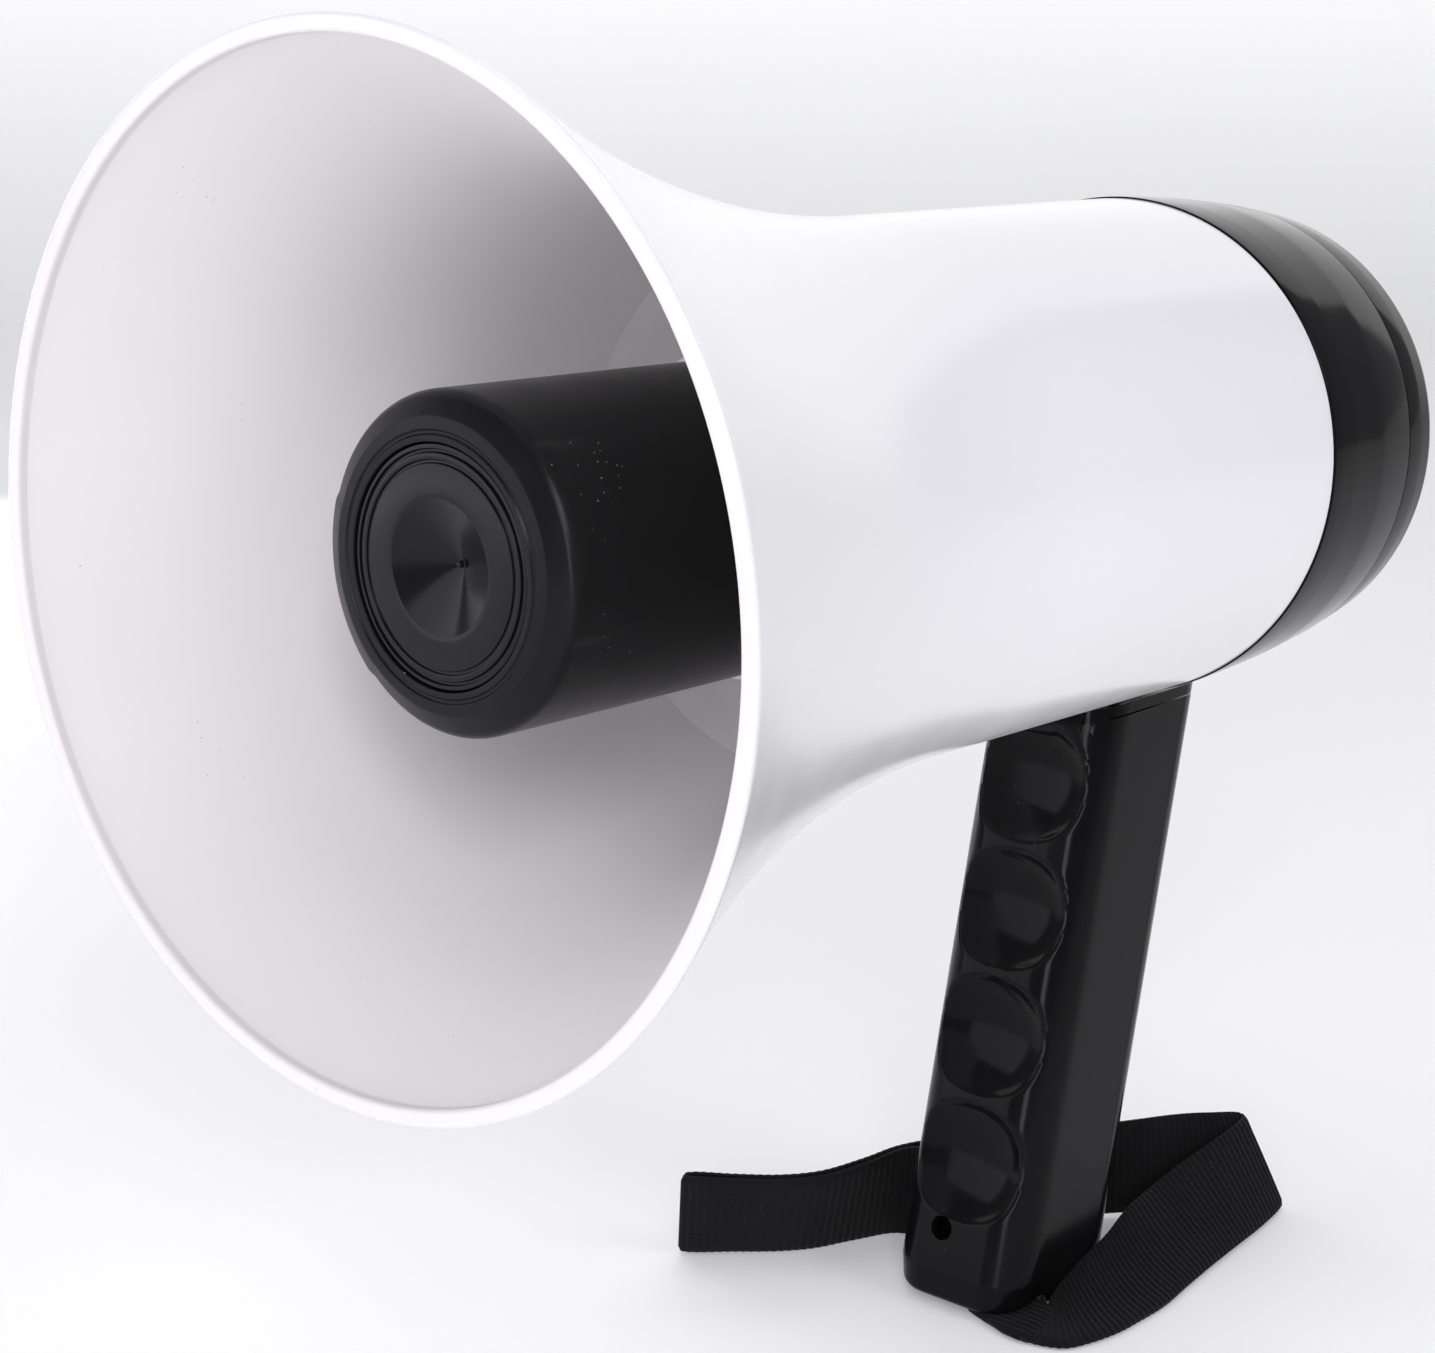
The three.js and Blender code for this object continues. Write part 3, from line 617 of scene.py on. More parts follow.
def rear_cap():
    turned_piece("smooth_rear_cap", [
        (48.25, CAP_FRONT, 0.5), (47.55, 250, 30), (46.8, 255.2, 3), (45.5, 258.3, 2.0),
        (44.0, CAP_END, 0.8),
        (43.0, 258.6, 0.5), (42.6, 257.4), (42.6, 247.4), (40, 247.4), (40, 244.6), (43.6, CAP_FRONT),
        (43.6, 236, 0.4), (45.5, 236, 0.4), (45.5, CAP_FRONT),
    ], 200, GLOSS, "rear_cap", "black_gloss", ["rear_cap"], steps=8)


rear_collar()
rear_cap()


# ---------------------------------- rear panel and controls
PANEL_BACK = back_of("control_panel")
MIC = centre_of("mic_capsule")
KNOB = centre_of("volume_knob")
SLIDER = centre_of("mode_slider")
TALK = centre_of("talk_button")
JACK = centre_of("charge_jack")
LED = centre_of("power_led")
KEYS = {"siren": centre_of("siren_button"), "play": centre_of("play_button")}
SCREWS = [centre_of(f"panel_screw_{i}") for i in (1, 2, 3)]


def control_panel():
    """The plate, with a hole for each control and screw."""
    panel = turned_piece("smooth_control_panel", [
        (0.0, PANEL_BACK - 2.2), (42.3, PANEL_BACK - 2.2), (42.3, PANEL_BACK - 0.5, 0.2),
        (41.0, PANEL_BACK - 0.5, 0.3), (40.4, PANEL_BACK, 0.3), (0.0, PANEL_BACK),
    ], 128, PANEL, "rear_cap", "black_satin", ["control_panel"], closed=False)
    low, high = PANEL_BACK - 4, PANEL_BACK + 2
    holes = [circle(*MIC, 13.3, 72), circle(*KNOB, 4.3), circle(*KEYS["siren"], 4.45),
             circle(*KEYS["play"], 4.45), circle(*JACK, 3.0), circle(*LED, 1.7, 32),
             rectangle(*SLIDER, 2.0, 6.5, 1.2), rectangle(*TALK, 8.15, 4.55, 2.5)]
    holes += [circle(*at, 1.6, 32) for at in SCREWS]
    carve(panel, [prism(outline, low, high, along_axis) for outline in holes])
    soften(panel, 0.18, 2, 60)


def panel_marks():
    """Raised dots round the knob that grow with the volume, and lines beside the slider and the keys."""
    outlines = []
    count = 9
    for i in range(count):
        angle = math.radians(225 - 270 * i / (count - 1))
        x, z = KNOB[0] + 11.4 * math.cos(angle), KNOB[1] + 11.4 * math.sin(angle)
        outlines.append(circle(x, z, 0.35 + 0.06 * i, 20))
    for offset in (-4.0, 0.0, 4.0):
        outlines.append(rectangle(SLIDER[0] - 6.2, SLIDER[1] + offset, 1.4, 0.25, 0.2, 2))
    for x, z in KEYS.values():
        outlines.append(rectangle(x, z - 7.6, 2.6, 0.28, 0.25, 2))
    points, faces = prisms(outlines, PANEL_BACK - 0.05, PANEL_BACK + 0.12)
    make_piece("panel_marks", points, faces, MARK, "rear_cap", "black_satin")


def mic_grille():
    """A shallow dome with a field of round holes."""
    grille = turned_piece("smooth_mic_grille", [
        (0.0, 252.2), (6, 251.9, 8), (10, 251.1, 6), (12.6, 249.9, 1.0), (13.1, 248.9, 0.4), (13.1, 247.8),
        (11.6, 247.8), (11.6, 249, 1.0), (6, 250.6, 8), (0.0, 251.0),
    ], 96, SATIN, "rear_cap", "black_satin", ["mic_grille"], centre=MIC, steps=6, closed=False)
    holes = []
    pitch, hole_r, field_r = 1.9, 0.62, 9.2
    for row in range(-5, 6):
        for column in range(-5, 6):
            x = (column + 0.5 * (row % 2)) * pitch
            z = row * pitch * math.sin(math.radians(60))
            if math.hypot(x, z) <= field_r:
                holes.append(circle(MIC[0] + x, MIC[1] + z, hole_r, 14))
    carve(grille, [prisms(holes, 247, 255)])
    smooth(grille, 35)


def key_cap(name, at, material, slot):
    turned_piece(f"smooth_{name}", [
        (0.0, 243.4), (5.3, 243.4, 0.3), (5.3, 245.6, 0.3), (4.05, 245.6), (4.05, 251.6, 0.5),
        (3.5, 252.5, 0.5), (2.2, 252.4, 1.0), (0.0, 252.1),
    ], 72, material, name, slot, [name], centre=at, closed=False)


def talk_button():
    low, high = 243.7, back_of("talk_button")
    flange = prism(rectangle(*TALK, 9.1, 5.3, 2.3), low, 246.1, along_axis)
    piece = make_piece("smooth_talk_button", *flange, RUBBER, "talk_button", "black_rubber", ["talk_button"])
    carve(piece, [prism(rectangle(*TALK, 7.75, 4.15, 2.3, 8), 245, high, along_axis)], "UNION")
    for offset in (-4.5, -2.25, 0.0, 2.25, 4.5):
        groove = rectangle(TALK[0] + offset, TALK[1], 0.35, 2.6, 0.3, 4)
        carve(piece, [prism(groove, high - 0.35, high + 1, along_axis)])
    soften(piece, 0.3, 3, 45)


def volume_knob():
    def flutes(angle, radius, s):
        if radius < 7 or not 251.2 < s < 256.4:
            return radius
        return radius - 0.55 * max(0.0, math.cos(20 * angle)) ** 3

    knob = turned_piece("smooth_volume_knob", [
        (0.0, 244.4), (2.6, 244.4, 0.2), (2.6, 250.6), (8.2, 250.6, 0.3), (8.2, 251.1), (8.2, 251.3),
        (8.2, 256.2), (8.2, 256.5, 0.2), (7.7, 257.3, 0.6), (6.4, 257.4, 0.4), (6.1, 257.1, 0.3),
        (0.0, 256.9),
    ], 240, SATIN, "volume_knob", "black_satin", ["volume_knob"], centre=KNOB, shape=flutes, closed=False)
    x, z = KNOB[0], KNOB[1] + 5.4
    carve(knob, [prism(rectangle(x, z, 0.6, 2.15, 0.5, 4), 256.75, 259, along_axis)])
    smooth(knob, 35)
    pointer = prism(rectangle(x, z, 0.45, 2.0, 0.4, 4), 256.5, 257.2, along_axis)
    make_piece("knob_pointer", *pointer, MARK, "volume_knob", "black_satin")


def mode_slider():
    low, high = 245.1, back_of("mode_slider")
    foot = prism(rectangle(*SLIDER, 3.1, 4.4, 0.6), low, 247, along_axis)
    piece = make_piece("smooth_mode_slider", *foot, SATIN, "mode_slider", "black_satin", ["mode_slider"])
    carve(piece, [prism(rectangle(*SLIDER, 1.55, 1.95, 0.4, 4), 246, high, along_axis)], "UNION")
    for offset in (-1.1, 0.0, 1.1):
        groove = rectangle(SLIDER[0], SLIDER[1] + offset, 3, 0.2, 0.1, 2)
        carve(piece, [prism(groove, high - 0.4, high + 1, along_axis)])
    soften(piece, 0.12, 2, 45)


def charge_jack():
    back = back_of("charge_jack")
    turned_piece("smooth_charge_jack", [
        (1.65, 245.0), (1.65, back, 0.3), (2.8, back, 0.3), (2.8, 246.8), (2.8, 244.8),
    ], 56, RUBBER, "rear_cap", "black_rubber", ["charge_jack"], centre=JACK)
    turned_piece("jack_contact", [
        (0.0, 239.5), (0.55, 239.5), (0.55, back - 0.9, 0.2), (0.3, back - 0.5, 0.2), (0.0, back - 0.5),
    ], 28, STEEL, "rear_cap", "steel", centre=JACK, closed=False)


def power_led():
    back = back_of("power_led")
    turned_piece("smooth_power_led", [
        (0.0, 235.0), (1.4, 235.0), (1.4, back - 0.5, 0.9), (0.7, back, 0.8), (0.0, back),
    ], 40, LENS, "rear_cap", "led", ["power_led"], centre=LED, closed=False)


def panel_screw(i, at):
    back = back_of(f"panel_screw_{i}")
    screw = turned_piece(f"smooth_panel_screw_{i}", [
        (0.0, 235.4), (1.3, 235.4, 0.1), (1.3, PANEL_BACK + 0.1), (2.7, PANEL_BACK + 0.1, 0.2),
        (2.7, PANEL_BACK + 1.0, 0.5), (1.9, back - 0.1, 0.8), (0.0, back),
    ], 56, STEEL, "rear_cap", "steel", [f"panel_screw_{i}"], centre=at, closed=False)
    turn = math.radians(25 + 40 * i)
    for quarter in (0, 1):
        angle = turn + quarter * math.pi / 2
        c, s = math.cos(angle), math.sin(angle)
        slot = [(at[0] + a * c - b * s, at[1] + a * s + b * c)
                for a, b in ((-1.35, -0.28), (1.35, -0.28), (1.35, 0.28), (-1.35, 0.28))]
        carve(screw, [prism(slot, back - 1.1, back + 1, along_axis)])
    smooth(screw, 35)


control_panel()
panel_marks()
mic_grille()
key_cap("siren_button", KEYS["siren"], RED, "red_button")
key_cap("play_button", KEYS["play"], RUBBER, "black_rubber")
talk_button()
volume_knob()
mode_slider()
charge_jack()
power_led()
for screw_number, screw_place in enumerate(SCREWS, 1):
    panel_screw(screw_number, screw_place)


# ---------------------------------- grip
GRIP_HALF = half_width("grip_front_shell")
GRIP_FRONT = -3.2
GRIP_BACK = 35.6
SEAM = 26.6
CORNER = 9.0
SHELL = 2.4
SOLE = 3.2
SEAM_GAP = 0.12                             # half the gap between the shells
KNUCKLE_R = 2.9
KNUCKLE_HALF = 10.0
GRIP_SCREW = (-3, -105.4)                   # x and w of its hole
SCALLOPS = [-12.6 - 26.1 * i for i in range(4)]
SCALLOP_HALF = (15.35, 12.4)                # across the grip and along it
SCALLOP_DEPTH = 6.2
SCALLOP_RIM = 1.6                           # how far before the front face their ellipsoids are centred
DISH_BLEND = 0.9                            # width of the soft edge round the scallops
TOP_R = 53.3                                # the grip's top follows the barrel
STEP_S = 169.2                              # before this the sole is raised to leave room for the strap
STRAP_ROOM = 2.2


def smooth_max(a, b, width):
    h = np.maximum(width - np.abs(a - b), 0) / width
    return np.maximum(a, b) + h * h * width / 4


def scallop_depth(x, w):
    """How far back the front face lies at x and w."""
    surface = np.full(np.broadcast(x, w).shape, GRIP_FRONT - 20.0)
    for centre in SCALLOPS:
        inside = 1 - (x / SCALLOP_HALF[0]) ** 2 - ((w - centre) / SCALLOP_HALF[1]) ** 2
        dish = np.where(inside > 0, SCALLOP_DEPTH * np.sqrt(np.maximum(inside, 0)), 6 * inside)
        surface = np.maximum(surface, GRIP_FRONT - SCALLOP_RIM + dish)
    return surface


def half_section(front, back, half, corner, fine):
    """Right half of a rounded section, (x, v) from the middle of the front round to the seam."""
    flat = [(x, front) for x in np.linspace(0, half - corner, fine)]
    arc = [(half - corner + corner * math.sin(a), front + corner - corner * math.cos(a))
           for a in np.linspace(0, math.pi / 2, fine // 2 + 2)[1:]]
    side = [(half, v) for v in np.linspace(front + corner, back, 12)[1:]]
    return flat + arc + side


def mirrored(half):
    """The whole U from the left seam to the right one."""
    return [(-x, v) for x, v in reversed(half[1:])] + half


def sole_height(v, rise=0.0):
    """Where a column at v meets the sole, as w."""
    sin, cos = math.sin(RAKE), math.cos(RAKE)
    flat = (FLOOR + rise - PIVOT_Z + v * sin) / cos
    s_at_floor = PIVOT_S + v * cos + flat * sin
    if s_at_floor < STEP_S:
        flat = (FLOOR + max(rise, STRAP_ROOM) - PIVOT_Z + v * sin) / cos
    return flat


def foot_inset(rise):
    """How far the foot is drawn in at a height above its sole: a slight taper, then a small radius."""
    radius, taper, tall = 1.3, 1.1, 5.6
    drop = radius - np.minimum(rise, radius)
    return radius - np.sqrt(np.maximum(radius ** 2 - drop ** 2, 0)) + taper * np.clip(1 - rise / tall, 0, 1)


def top_height(x, v):
    """Where a column at x and v meets the barrel, as w."""
    z = -math.sqrt(TOP_R ** 2 - x ** 2)
    return (z - PIVOT_Z + v * math.sin(RAKE)) / math.cos(RAKE)


def grip_rings(outer, inner, levels, spacing, side, dished):
    """Points and rings of a hollow half of the grip, from its sole up to the barrel.
    side is 1 for the front half and -1 for the back."""
    points, grids = [], []
    for loop, is_outer in ((outer, True), (inner, False)):
        xy = np.array(loop)
        tangent = np.gradient(xy, axis=0)
        normal = side * np.stack([-tangent[:, 1], tangent[:, 0]], 1)
        normal /= np.linalg.norm(normal, axis=1)[:, None]
        low = np.array([sole_height(v, 0 if is_outer else SOLE) for _, v in loop])
        high = np.array([top_height(x, v) for x, v in loop])
        grid = []
        for level in range(levels + 1):
            w = low + (high - low) * (level / levels) ** spacing
            x, v = xy[:, 0].copy(), xy[:, 1].copy()
            if is_outer:
                inset = foot_inset(w - low) * np.clip((side * (SEAM - v) - SEAM_GAP) / 2, 0, 1)
                x += normal[:, 0] * inset
                v += normal[:, 1] * inset
            if dished:
                dish = scallop_depth(x, w)
                if is_outer:
                    v = np.where(v < GRIP_FRONT + CORNER, smooth_max(v, dish, DISH_BLEND), v)
                else:
                    v = np.minimum(np.maximum(v, dish + SHELL), SEAM - 1)
                    v[[0, -1]] = SEAM - SEAM_GAP
            grid.append(range(len(points), len(points) + len(loop)))
            points += [grip_place(*at) for at in zip(x, v, w)]
        grids.append(grid)
    return points, grids


def grip_faces(grids):
    """Faces of both walls, the rims beside the seam, the top and the sole."""
    faces = []
    outside, inside = grids
    count = len(outside[0])
    for grid in grids:
        for a, b in zip(grid, grid[1:]):
            faces += [(a[k], a[k + 1], b[k + 1], b[k]) for k in range(count - 1)]
    for a in range(len(outside) - 1):
        for k in (0, -1):
            faces.append((outside[a][k], outside[a + 1][k], inside[a + 1][k], inside[a][k]))
    for k in range(count - 1):
        faces.append((outside[-1][k], outside[-1][k + 1], inside[-1][k + 1], inside[-1][k]))
    for grid in grids:
        bottom = grid[0]
        for k in range(count // 2):
            quad = (bottom[k], bottom[k + 1], bottom[count - 2 - k], bottom[count - 1 - k])
            faces.append(tuple(dict.fromkeys(quad)))
    faces.append((outside[0][0], inside[0][0], inside[0][-1], outside[0][-1]))
    return [f for f in faces if len(f) > 2]


def grip_shell():
    """The front shell: a U section with the finger scallops, hollow above its thick sole."""
    end = SEAM - SEAM_GAP
    outer = mirrored(half_section(GRIP_FRONT, end, GRIP_HALF, CORNER, 30))
    inner = mirrored(half_section(GRIP_FRONT + SHELL, end, GRIP_HALF - SHELL, CORNER - SHELL, 30))
    points, grids = grip_rings(outer, inner, 240, 1.2, 1, True)
    piece = make_piece("smooth_grip_front", points, grip_faces(grids), GRIP, "grip", "black_gloss",
                       ["grip_front_shell"], 38)
    carve(piece, [prism(circle(*GRIP_SCREW, 2.5, 48), -12, 6, through_grip)])
    knuckle = circle(PIVOT_S, PIVOT_Z, KNUCKLE_R, 48)
    carve(piece, [prism(knuckle, 0.05 - KNUCKLE_HALF, KNUCKLE_HALF - 0.05, along_x)], "UNION")
    carve(piece, [prism(circle(PIVOT_S, PIVOT_Z, 1.8, 32), -12.5, 12.5, along_x)])
    smooth(piece, 38)


def back_section(half, back, corner):
    """The back cover's section, (x, v) from the left of the seam round to the right."""
    arc = [(half - corner + corner * math.sin(a), back - corner + corner * math.cos(a))
           for a in np.linspace(0, math.pi / 2, 16)]
    right = [(x, back) for x in np.linspace(0, half - corner, 8)[:-1]] + arc
    right += [(half, v) for v in np.linspace(back - corner, SEAM + SEAM_GAP, 5)[1:]]
    return [(-x, v) for x, v in reversed(right[1:])] + right


def grip_back():
    """The back cover, a shallow lid with rounded corners."""
    outer = back_section(GRIP_HALF, GRIP_BACK, CORNER)
    inner = back_section(GRIP_HALF - SHELL, GRIP_BACK - SHELL, CORNER - SHELL)
    points, grids = grip_rings(outer, inner, 60, 1.6, -1, False)
    make_piece("smooth_grip_back", points, grip_faces(grids), GRIP, "grip", "black_gloss",
               ["grip_back_cover"], 38)


BRACKET_INNER = 50.85                       # the saddle lies on the barrel
BRACKET_OUTER = 53.0
BRACKET_BACK = 223.4
BRACKET_SCREWS = (195.5, 211.0)             # where its screws stand along the axis


def grip_bracket():
    """The saddle under the barrel: a plate cut to the grip's outline, two ears and two screw posts."""
    middle, reach = (GRIP_FRONT + GRIP_BACK) / 2, (GRIP_BACK - GRIP_FRONT) / 2
    outline = rectangle(0, middle, GRIP_HALF - 0.05, reach - 0.05, CORNER, 12)
    block = prism(outline, -14, 16, grip_place)
    bracket = make_piece("smooth_grip_bracket", *block, GRIP, "horn", "black_gloss", ["grip_bracket"])
    below, saddle = (turned([(BRACKET_INNER, 150), (reach, 150), (reach, BRACKET_BACK),
                             (BRACKET_INNER, BRACKET_BACK)], 200) for reach in (62, BRACKET_OUTER))
    carve(bracket, [saddle], "INTERSECT")
    ear_inner = KNUCKLE_HALF + 0.3
    before_plate = PIVOT_S + 3.6
    gap = [(150, -70), (before_plate, -70), (before_plate, -40), (150, -40)]
    carve(bracket, [prism(gap, -ear_inner, ear_inner, along_x)])
    for side in (-1, 1):
        low, high = sorted((ear_inner * side, 14.7 * side))
        ear_shape = prism(circle(PIVOT_S, PIVOT_Z, KNUCKLE_R, 40), low, high, along_x)
        ear = make_piece("ear", *ear_shape, GRIP, None, None)
        carve(ear, [below, block], "INTERSECT")
        combine(bracket, ear, "UNION")
    for s in BRACKET_SCREWS:
        post_shape = prism(rectangle(0, s, 5, 4.5, 0.6, 3), -59, -48, upright)
        post = make_piece("post", *post_shape, GRIP, None, None)
        carve(post, [below], "INTERSECT")
        carve(post, [prism(circle(0, s, 1.6, 32), -57.5, -40, upright)])
        combine(bracket, post, "UNION")
    carve(bracket, [prism(circle(PIVOT_S, PIVOT_Z, 1.85, 32), -13.6, 13.6, along_x)])
    smooth(bracket, 32)


grip_shell()
grip_back()
grip_bracket()


# ---------------------------------- wrist strap
STRAP_WIDTH = 22.0
RIB_PITCH = 1.65
STRAP_HALF = 0.56                           # half of the webbing's thickness between its ribs
RIB_RISE = 0.15
BEND_START = 4.0                            # the section bends between these two places in its width
BEND_END = 17.5
RIB_STEP = 0.2                              # spacing of the rows that carry the ribs
SLOT_S = 167.75                             # where the strap goes up into the foot
STRAP_ROUTE = [
    # x and s of the lower edge, the way the section faces, and its angle at the lower and upper edge:
    # 90 is upright, 0 lies away from where it faces and 180 towards it
    (20.8, 154.3, 105, 180, 180), (24.0, 155.0, 117, 180, 178), (28.0, 157.2, 129, 180, 174),
    (30.6, 162.5, 141, 180, 164), (32.4, 169.3, 149, 180, 152), (33.1, 176.6, 155, 178, 143),
    (33.5, 185.5, 162, 172, 137), (32.5, 197.1, 170, 158, 135), (31.7, 207.5, 172, 145, 145),
    (31.0, 218.9, 177, 136, 136), (30.1, 231.8, 176, 127, 127), (28.9, 241.0, 175, 122, 123),
    (28.0, 244.2, 174, 121, 123), (27.0, 244.9, 173, 121, 122), (25.4, 243.9, 171, 119, 119),
    (20.2, 237.6, 165, 112, 112), (13.5, 230.3, 158, 104, 104), (3.3, 218.2, 150, 94, 94),
    (-10.0, 203.0, 150, 88, 88), (-22.0, 190.5, 150, 84, 84), (-30.4, 178.9, 150, 80, 80),
    (-34.7, 169.9, 150, 74, 74), (-39.2, 160.4, 148, 70, 70), (-43.9, 154.7, 142, 69, 69),
    (-51.4, 148.0, 138, 70, 70), (-57.3, 142.7, 138, 72, 72), (-58.4, 141.2, 138, 72, 72),
    (-57.9, 140.0, 138, 72, 72), (-56.3, 140.7, 138, 72, 72), (-50.0, 146.4, 138, 70, 70),
    (-42.4, 153.3, 142, 69, 69), (-37.5, 159.4, 148, 70, 70), (-33.0, 169.0, 150, 74, 74),
    (-28.6, 176.9, 150, 82, 82), (-24.0, 178.4, 150, 88, 88), (-19.8, 174.6, 150, 90, 90),
]


def spline(rows, step):
    """A smooth curve through the rows, resampled evenly by the distance in its first two columns."""
    rows = np.array(rows)
    knots = np.concatenate([[0.0], np.cumsum(np.linalg.norm(np.diff(rows[:, :2], axis=0), axis=1) ** 0.5)])
    slopes = np.gradient(rows, knots, axis=0)
    fine = []
    for i in range(len(rows) - 1):
        span = knots[i + 1] - knots[i]
        for t in np.linspace(0, 1, 24, endpoint=i == len(rows) - 2):
            a, b = 2 * t ** 3 - 3 * t ** 2 + 1, t ** 3 - 2 * t ** 2 + t
            c, d = 3 * t ** 2 - 2 * t ** 3, t ** 3 - t ** 2
            fine.append(a * rows[i] + b * span * slopes[i] + c * rows[i + 1] + d * span * slopes[i + 1])
    fine = np.array(fine)
    length = np.concatenate([[0.0], np.cumsum(np.linalg.norm(np.diff(fine[:, :2], axis=0), axis=1))])
    even = np.arange(0, length[-1], step)
    return even, np.stack([np.interp(even, length, fine[:, k]) for k in range(fine.shape[1])], 1)


def across(first, last, count):
    """The strap's cross-section, sideways and upward from its lower edge, bent between two angles."""
    a = np.linspace(0, STRAP_WIDTH - 2 * STRAP_HALF, count)
    heading = np.radians(first + (last - first) * np.clip((a - BEND_START) / (BEND_END - BEND_START), 0, 1))
    middle = (heading[1:] + heading[:-1]) / 2
    side = np.concatenate([[0.0], np.cumsum(-np.cos(middle) * a[1])])
    up = np.concatenate([[0.0], np.cumsum(np.sin(middle) * a[1])])
    return side, up - min(0.0, up.min())


def webbing_sheet(name, grid, distance, replaced=()):
    """Two ribbed faces round a grid of middle points, rows along the strap, joined round their rim."""
    grid = np.array(grid)
    along = np.gradient(grid, axis=0)
    width = np.gradient(grid, axis=1)
    normal = np.cross(along, width)
    normal /= np.linalg.norm(normal, axis=2)[:, :, None]
    rows, columns = grid.shape[:2]
    rib = RIB_RISE * (1 + np.cos(2 * np.pi * np.array(distance) / RIB_PITCH))
    thickness = (STRAP_HALF + rib)[:, None] * np.ones((1, columns))
    thickness[:, [0, -1]] *= 0.45
    points = np.concatenate([(grid + normal * thickness[:, :, None]).reshape(-1, 3),
                             (grid - normal * thickness[:, :, None]).reshape(-1, 3)])
    half = rows * columns
    faces = []
    for i in range(rows - 1):
        for j in range(columns - 1):
            k = i * columns + j
            faces.append((k, k + 1, k + columns + 1, k + columns))
            faces.append((half + k, half + k + columns, half + k + columns + 1, half + k + 1))
        for j in (0, columns - 1):
            k = i * columns + j
            faces.append((k, k + columns, half + k + columns, half + k))
    for i in (0, rows - 1):
        for j in range(columns - 1):
            k = i * columns + j
            faces.append((k, half + k, half + k + 1, k + 1))
    make_piece(name, [place(*p) for p in points], faces, WEBBING, "grip", "webbing", replaced, 50)


def strap_loop():
    """From under the foot round behind the grip, out to the left end, folded there and back."""
    distance, rows = spline(STRAP_ROUTE, 0.21)
    grid = []
    for x, s, facing, first, last in rows:
        side, up = across(first, last, 17)
        face = math.radians(facing)
        grid.append(np.stack([x + side * math.cos(face), s + side * math.sin(face),
                              FLOOR + STRAP_HALF + 2 * RIB_RISE + up], 1))
    webbing_sheet("strap_loop", grid, distance, ["wrist_strap"])


def strap_under_foot():
    """The flat run under the foot, with its front edge folded on the slant, and the end in the slot."""
    front = [(-1.2, 163.0), (0.2, 161.4), (4.6, 157.4), (10.0, 155.4), (15.2, 154.2), (21.5, 153.9)]
    front_x, front_s = zip(*reversed(front))
    end_s = SLOT_S + 0.85
    columns = 12
    grid = []
    places = np.arange(154.0, end_s, RIB_STEP)
    for s in places:
        left = np.interp(s, front_s, front_x) if s < front_s[-1] else front_x[-1]
        x = np.linspace(left, 21.0 - max(0.0, s - 160.0) * 0.25, columns)
        drop = 0.45 * np.clip(1 - np.arange(columns) / 1.5, 0, 1) + 0.3 * max(0.0, 154.8 - s)
        grid.append(np.stack([x, np.full(columns, s), FLOOR + 1.3 - drop], 1))
    webbing_sheet("strap_under_foot", grid, places)
    columns = 10
    tail = [np.stack([np.linspace(-13.0, 0.5, columns), np.full(columns, s),
                      np.full(columns, FLOOR + 0.95)], 1) for s in np.arange(163.6, end_s, RIB_STEP)]
    webbing_sheet("strap_tail", tail, np.arange(len(tail)) * RIB_STEP)
    columns = 14
    riser = [np.stack([np.linspace(-10.8, 10.8, columns), np.full(columns, SLOT_S), np.full(columns, z)], 1)
             for z in np.arange(FLOOR + 0.9, -152.0, RIB_STEP)]
    webbing_sheet("strap_riser", riser, np.arange(len(riser)) * RIB_STEP)


strap_loop()
strap_under_foot()


# ---------------------------------- floor and light
BACKDROP_TURN = 40.9                        # the backdrop stands square to the camera's view
FLOOR_GLOW = (0.16, 0.85)                   # emission of the floor, and of the backdrop's upper part


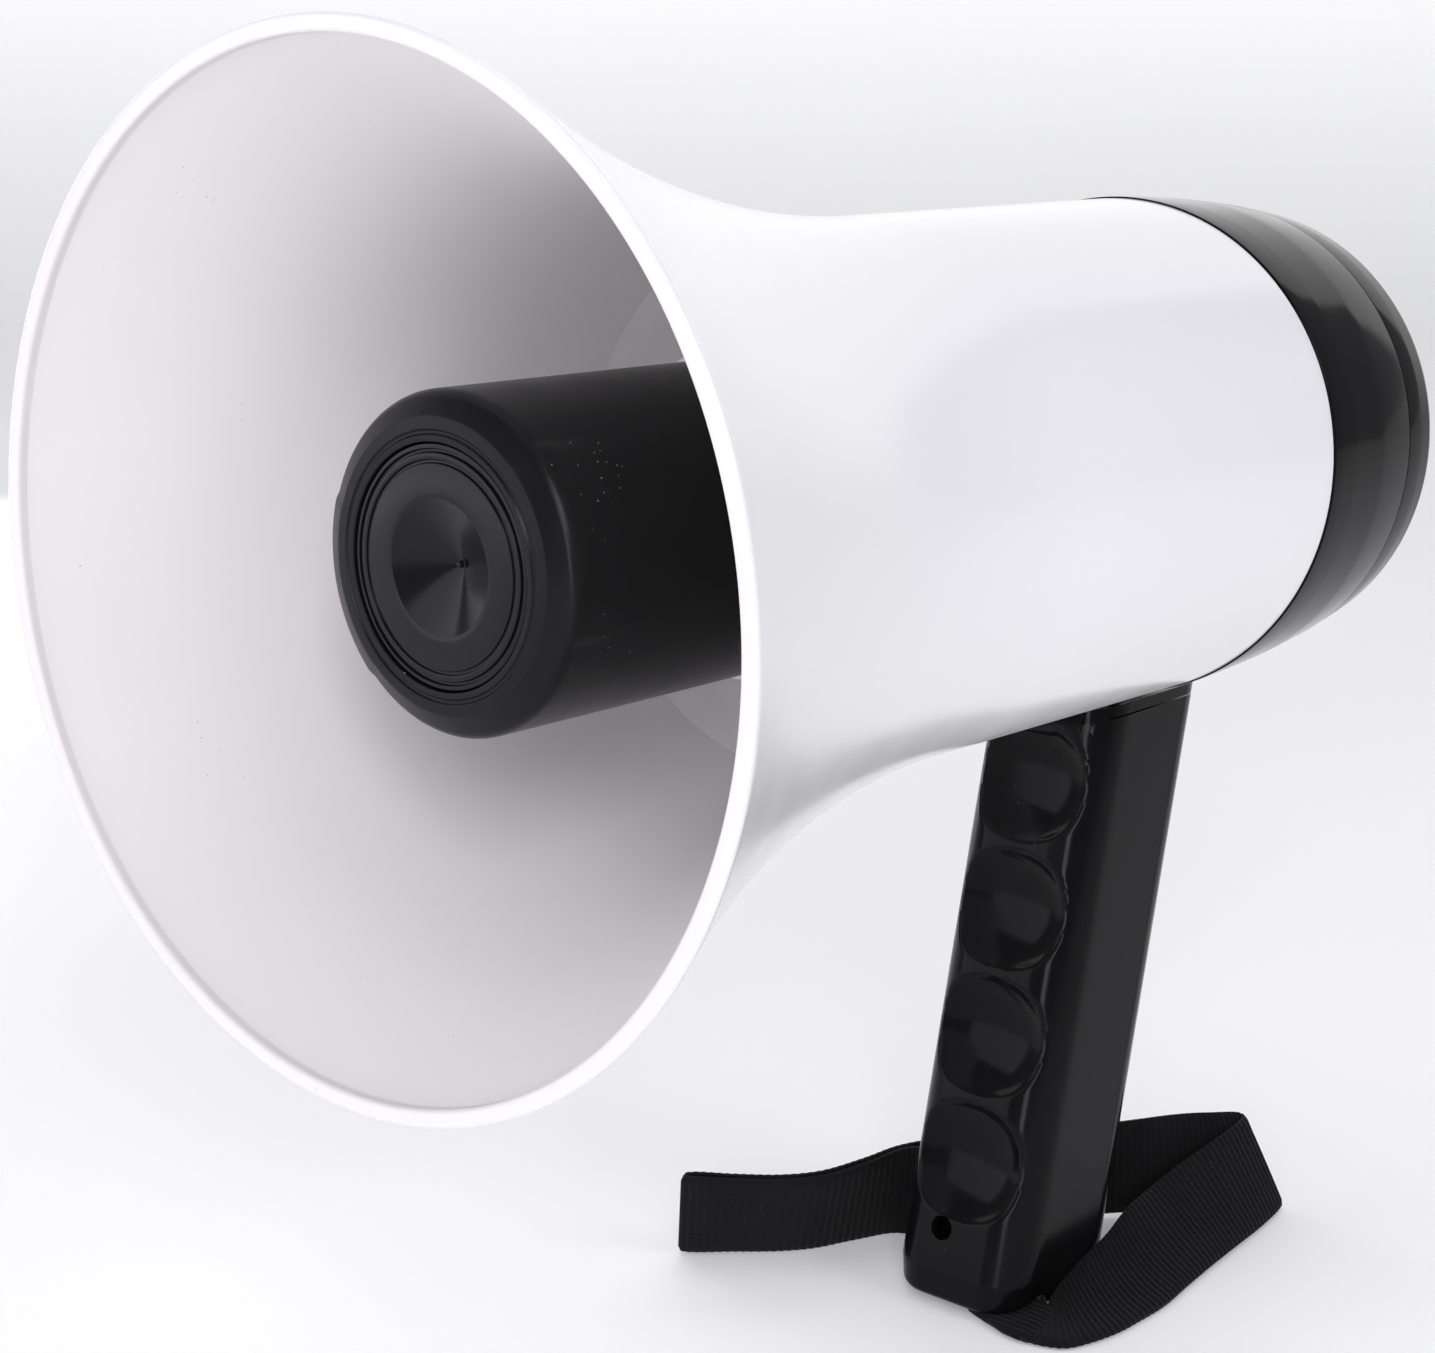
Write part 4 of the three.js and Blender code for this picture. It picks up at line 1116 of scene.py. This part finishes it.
def make_stage():
    """A pale floor that curves up into a backdrop."""
    points, faces = [], []
    width, depth, back, curve, top = 3.0, 2.2, 2.6, 1.2, 3.2
    outline = [(-depth, 0.0), (back - curve, 0.0)]
    outline += [(back - curve + curve * math.sin(a), curve - curve * math.cos(a))
                for a in np.linspace(0.08, math.pi / 2, 16)]
    outline += [(back, top)]
    turn = math.radians(BACKDROP_TURN)
    for across in (-width, width):
        for along, up in outline:
            points.append((across * math.cos(turn) - along * math.sin(turn),
                           across * math.sin(turn) + along * math.cos(turn), up))
    count = len(outline)
    for k in range(count - 1):
        faces.append((k, k + 1, count + k + 1, count + k))
    n = Nodes("studio_floor", Roughness=0.6)
    shade = n.noise(3.0, 2.0)
    pale = n.mix(n.spread(shade, 0.3, 0.7), (0.86, 0.86, 0.86), (0.88, 0.88, 0.88))
    n.link(pale, n.shader.inputs["Base Color"])
    n.shader.inputs["Emission Color"].default_value = (1.0, 1.0, 1.0, 1.0)
    height = n.add("ShaderNodeSeparateXYZ")
    n.link(n.place, height.inputs[0])
    n.link(n.spread(height.outputs["Z"], 0.05, 0.7, *FLOOR_GLOW), n.shader.inputs["Emission Strength"])
    floor = make_piece("studio_floor", points, faces, n.material, None, None)


def area_light(name, centre, target, size, power, colour=(1, 1, 1)):
    data = bpy.data.lights.new(name, "AREA")
    data.shape = "RECTANGLE"
    data.size, data.size_y = size
    data.energy = power
    data.color = colour
    light = bpy.data.objects.new(name, data)
    bpy.context.scene.collection.objects.link(light)
    light.location = centre
    direction = Vector(target) - Vector(centre)
    light.rotation_euler = direction.to_track_quat("-Z", "Y").to_euler()


def make_light():
    """Soft boxes round the horn and a weak even sky."""
    world = bpy.data.worlds.new("studio")
    world.use_nodes = True
    sky = world.node_tree.nodes["Background"]
    sky.inputs["Color"].default_value = (0.95, 0.96, 1.0, 1.0)
    sky.inputs["Strength"].default_value = 0.3
    bpy.context.scene.world = world
    middle = (0.0, 0.0, 0.16)
    tint = (1.0, 0.985, 1.06)
    area_light("key", (0.75, -0.8, 0.75), middle, (0.34, 0.5), 3.5, tint)
    area_light("side", (1.1, 0.2, 0.8), middle, (0.5, 0.4), 2.8, tint)
    area_light("front", (0.68, -1.2, 0.38), middle, (0.24, 0.95), 4.6, tint)
    area_light("left", (-0.8, -1.1, 0.35), middle, (1.2, 0.9), 4.9, tint)
    area_light("window", (-1.2, 0.3, 0.2), middle, (0.4, 0.5), 2.5, tint)
    area_light("top", (0.0, 0.1, 1.4), middle, (1.0, 1.0), 3.4, tint)


make_stage()
make_light()
bpy.context.scene.view_settings.view_transform = "Standard"
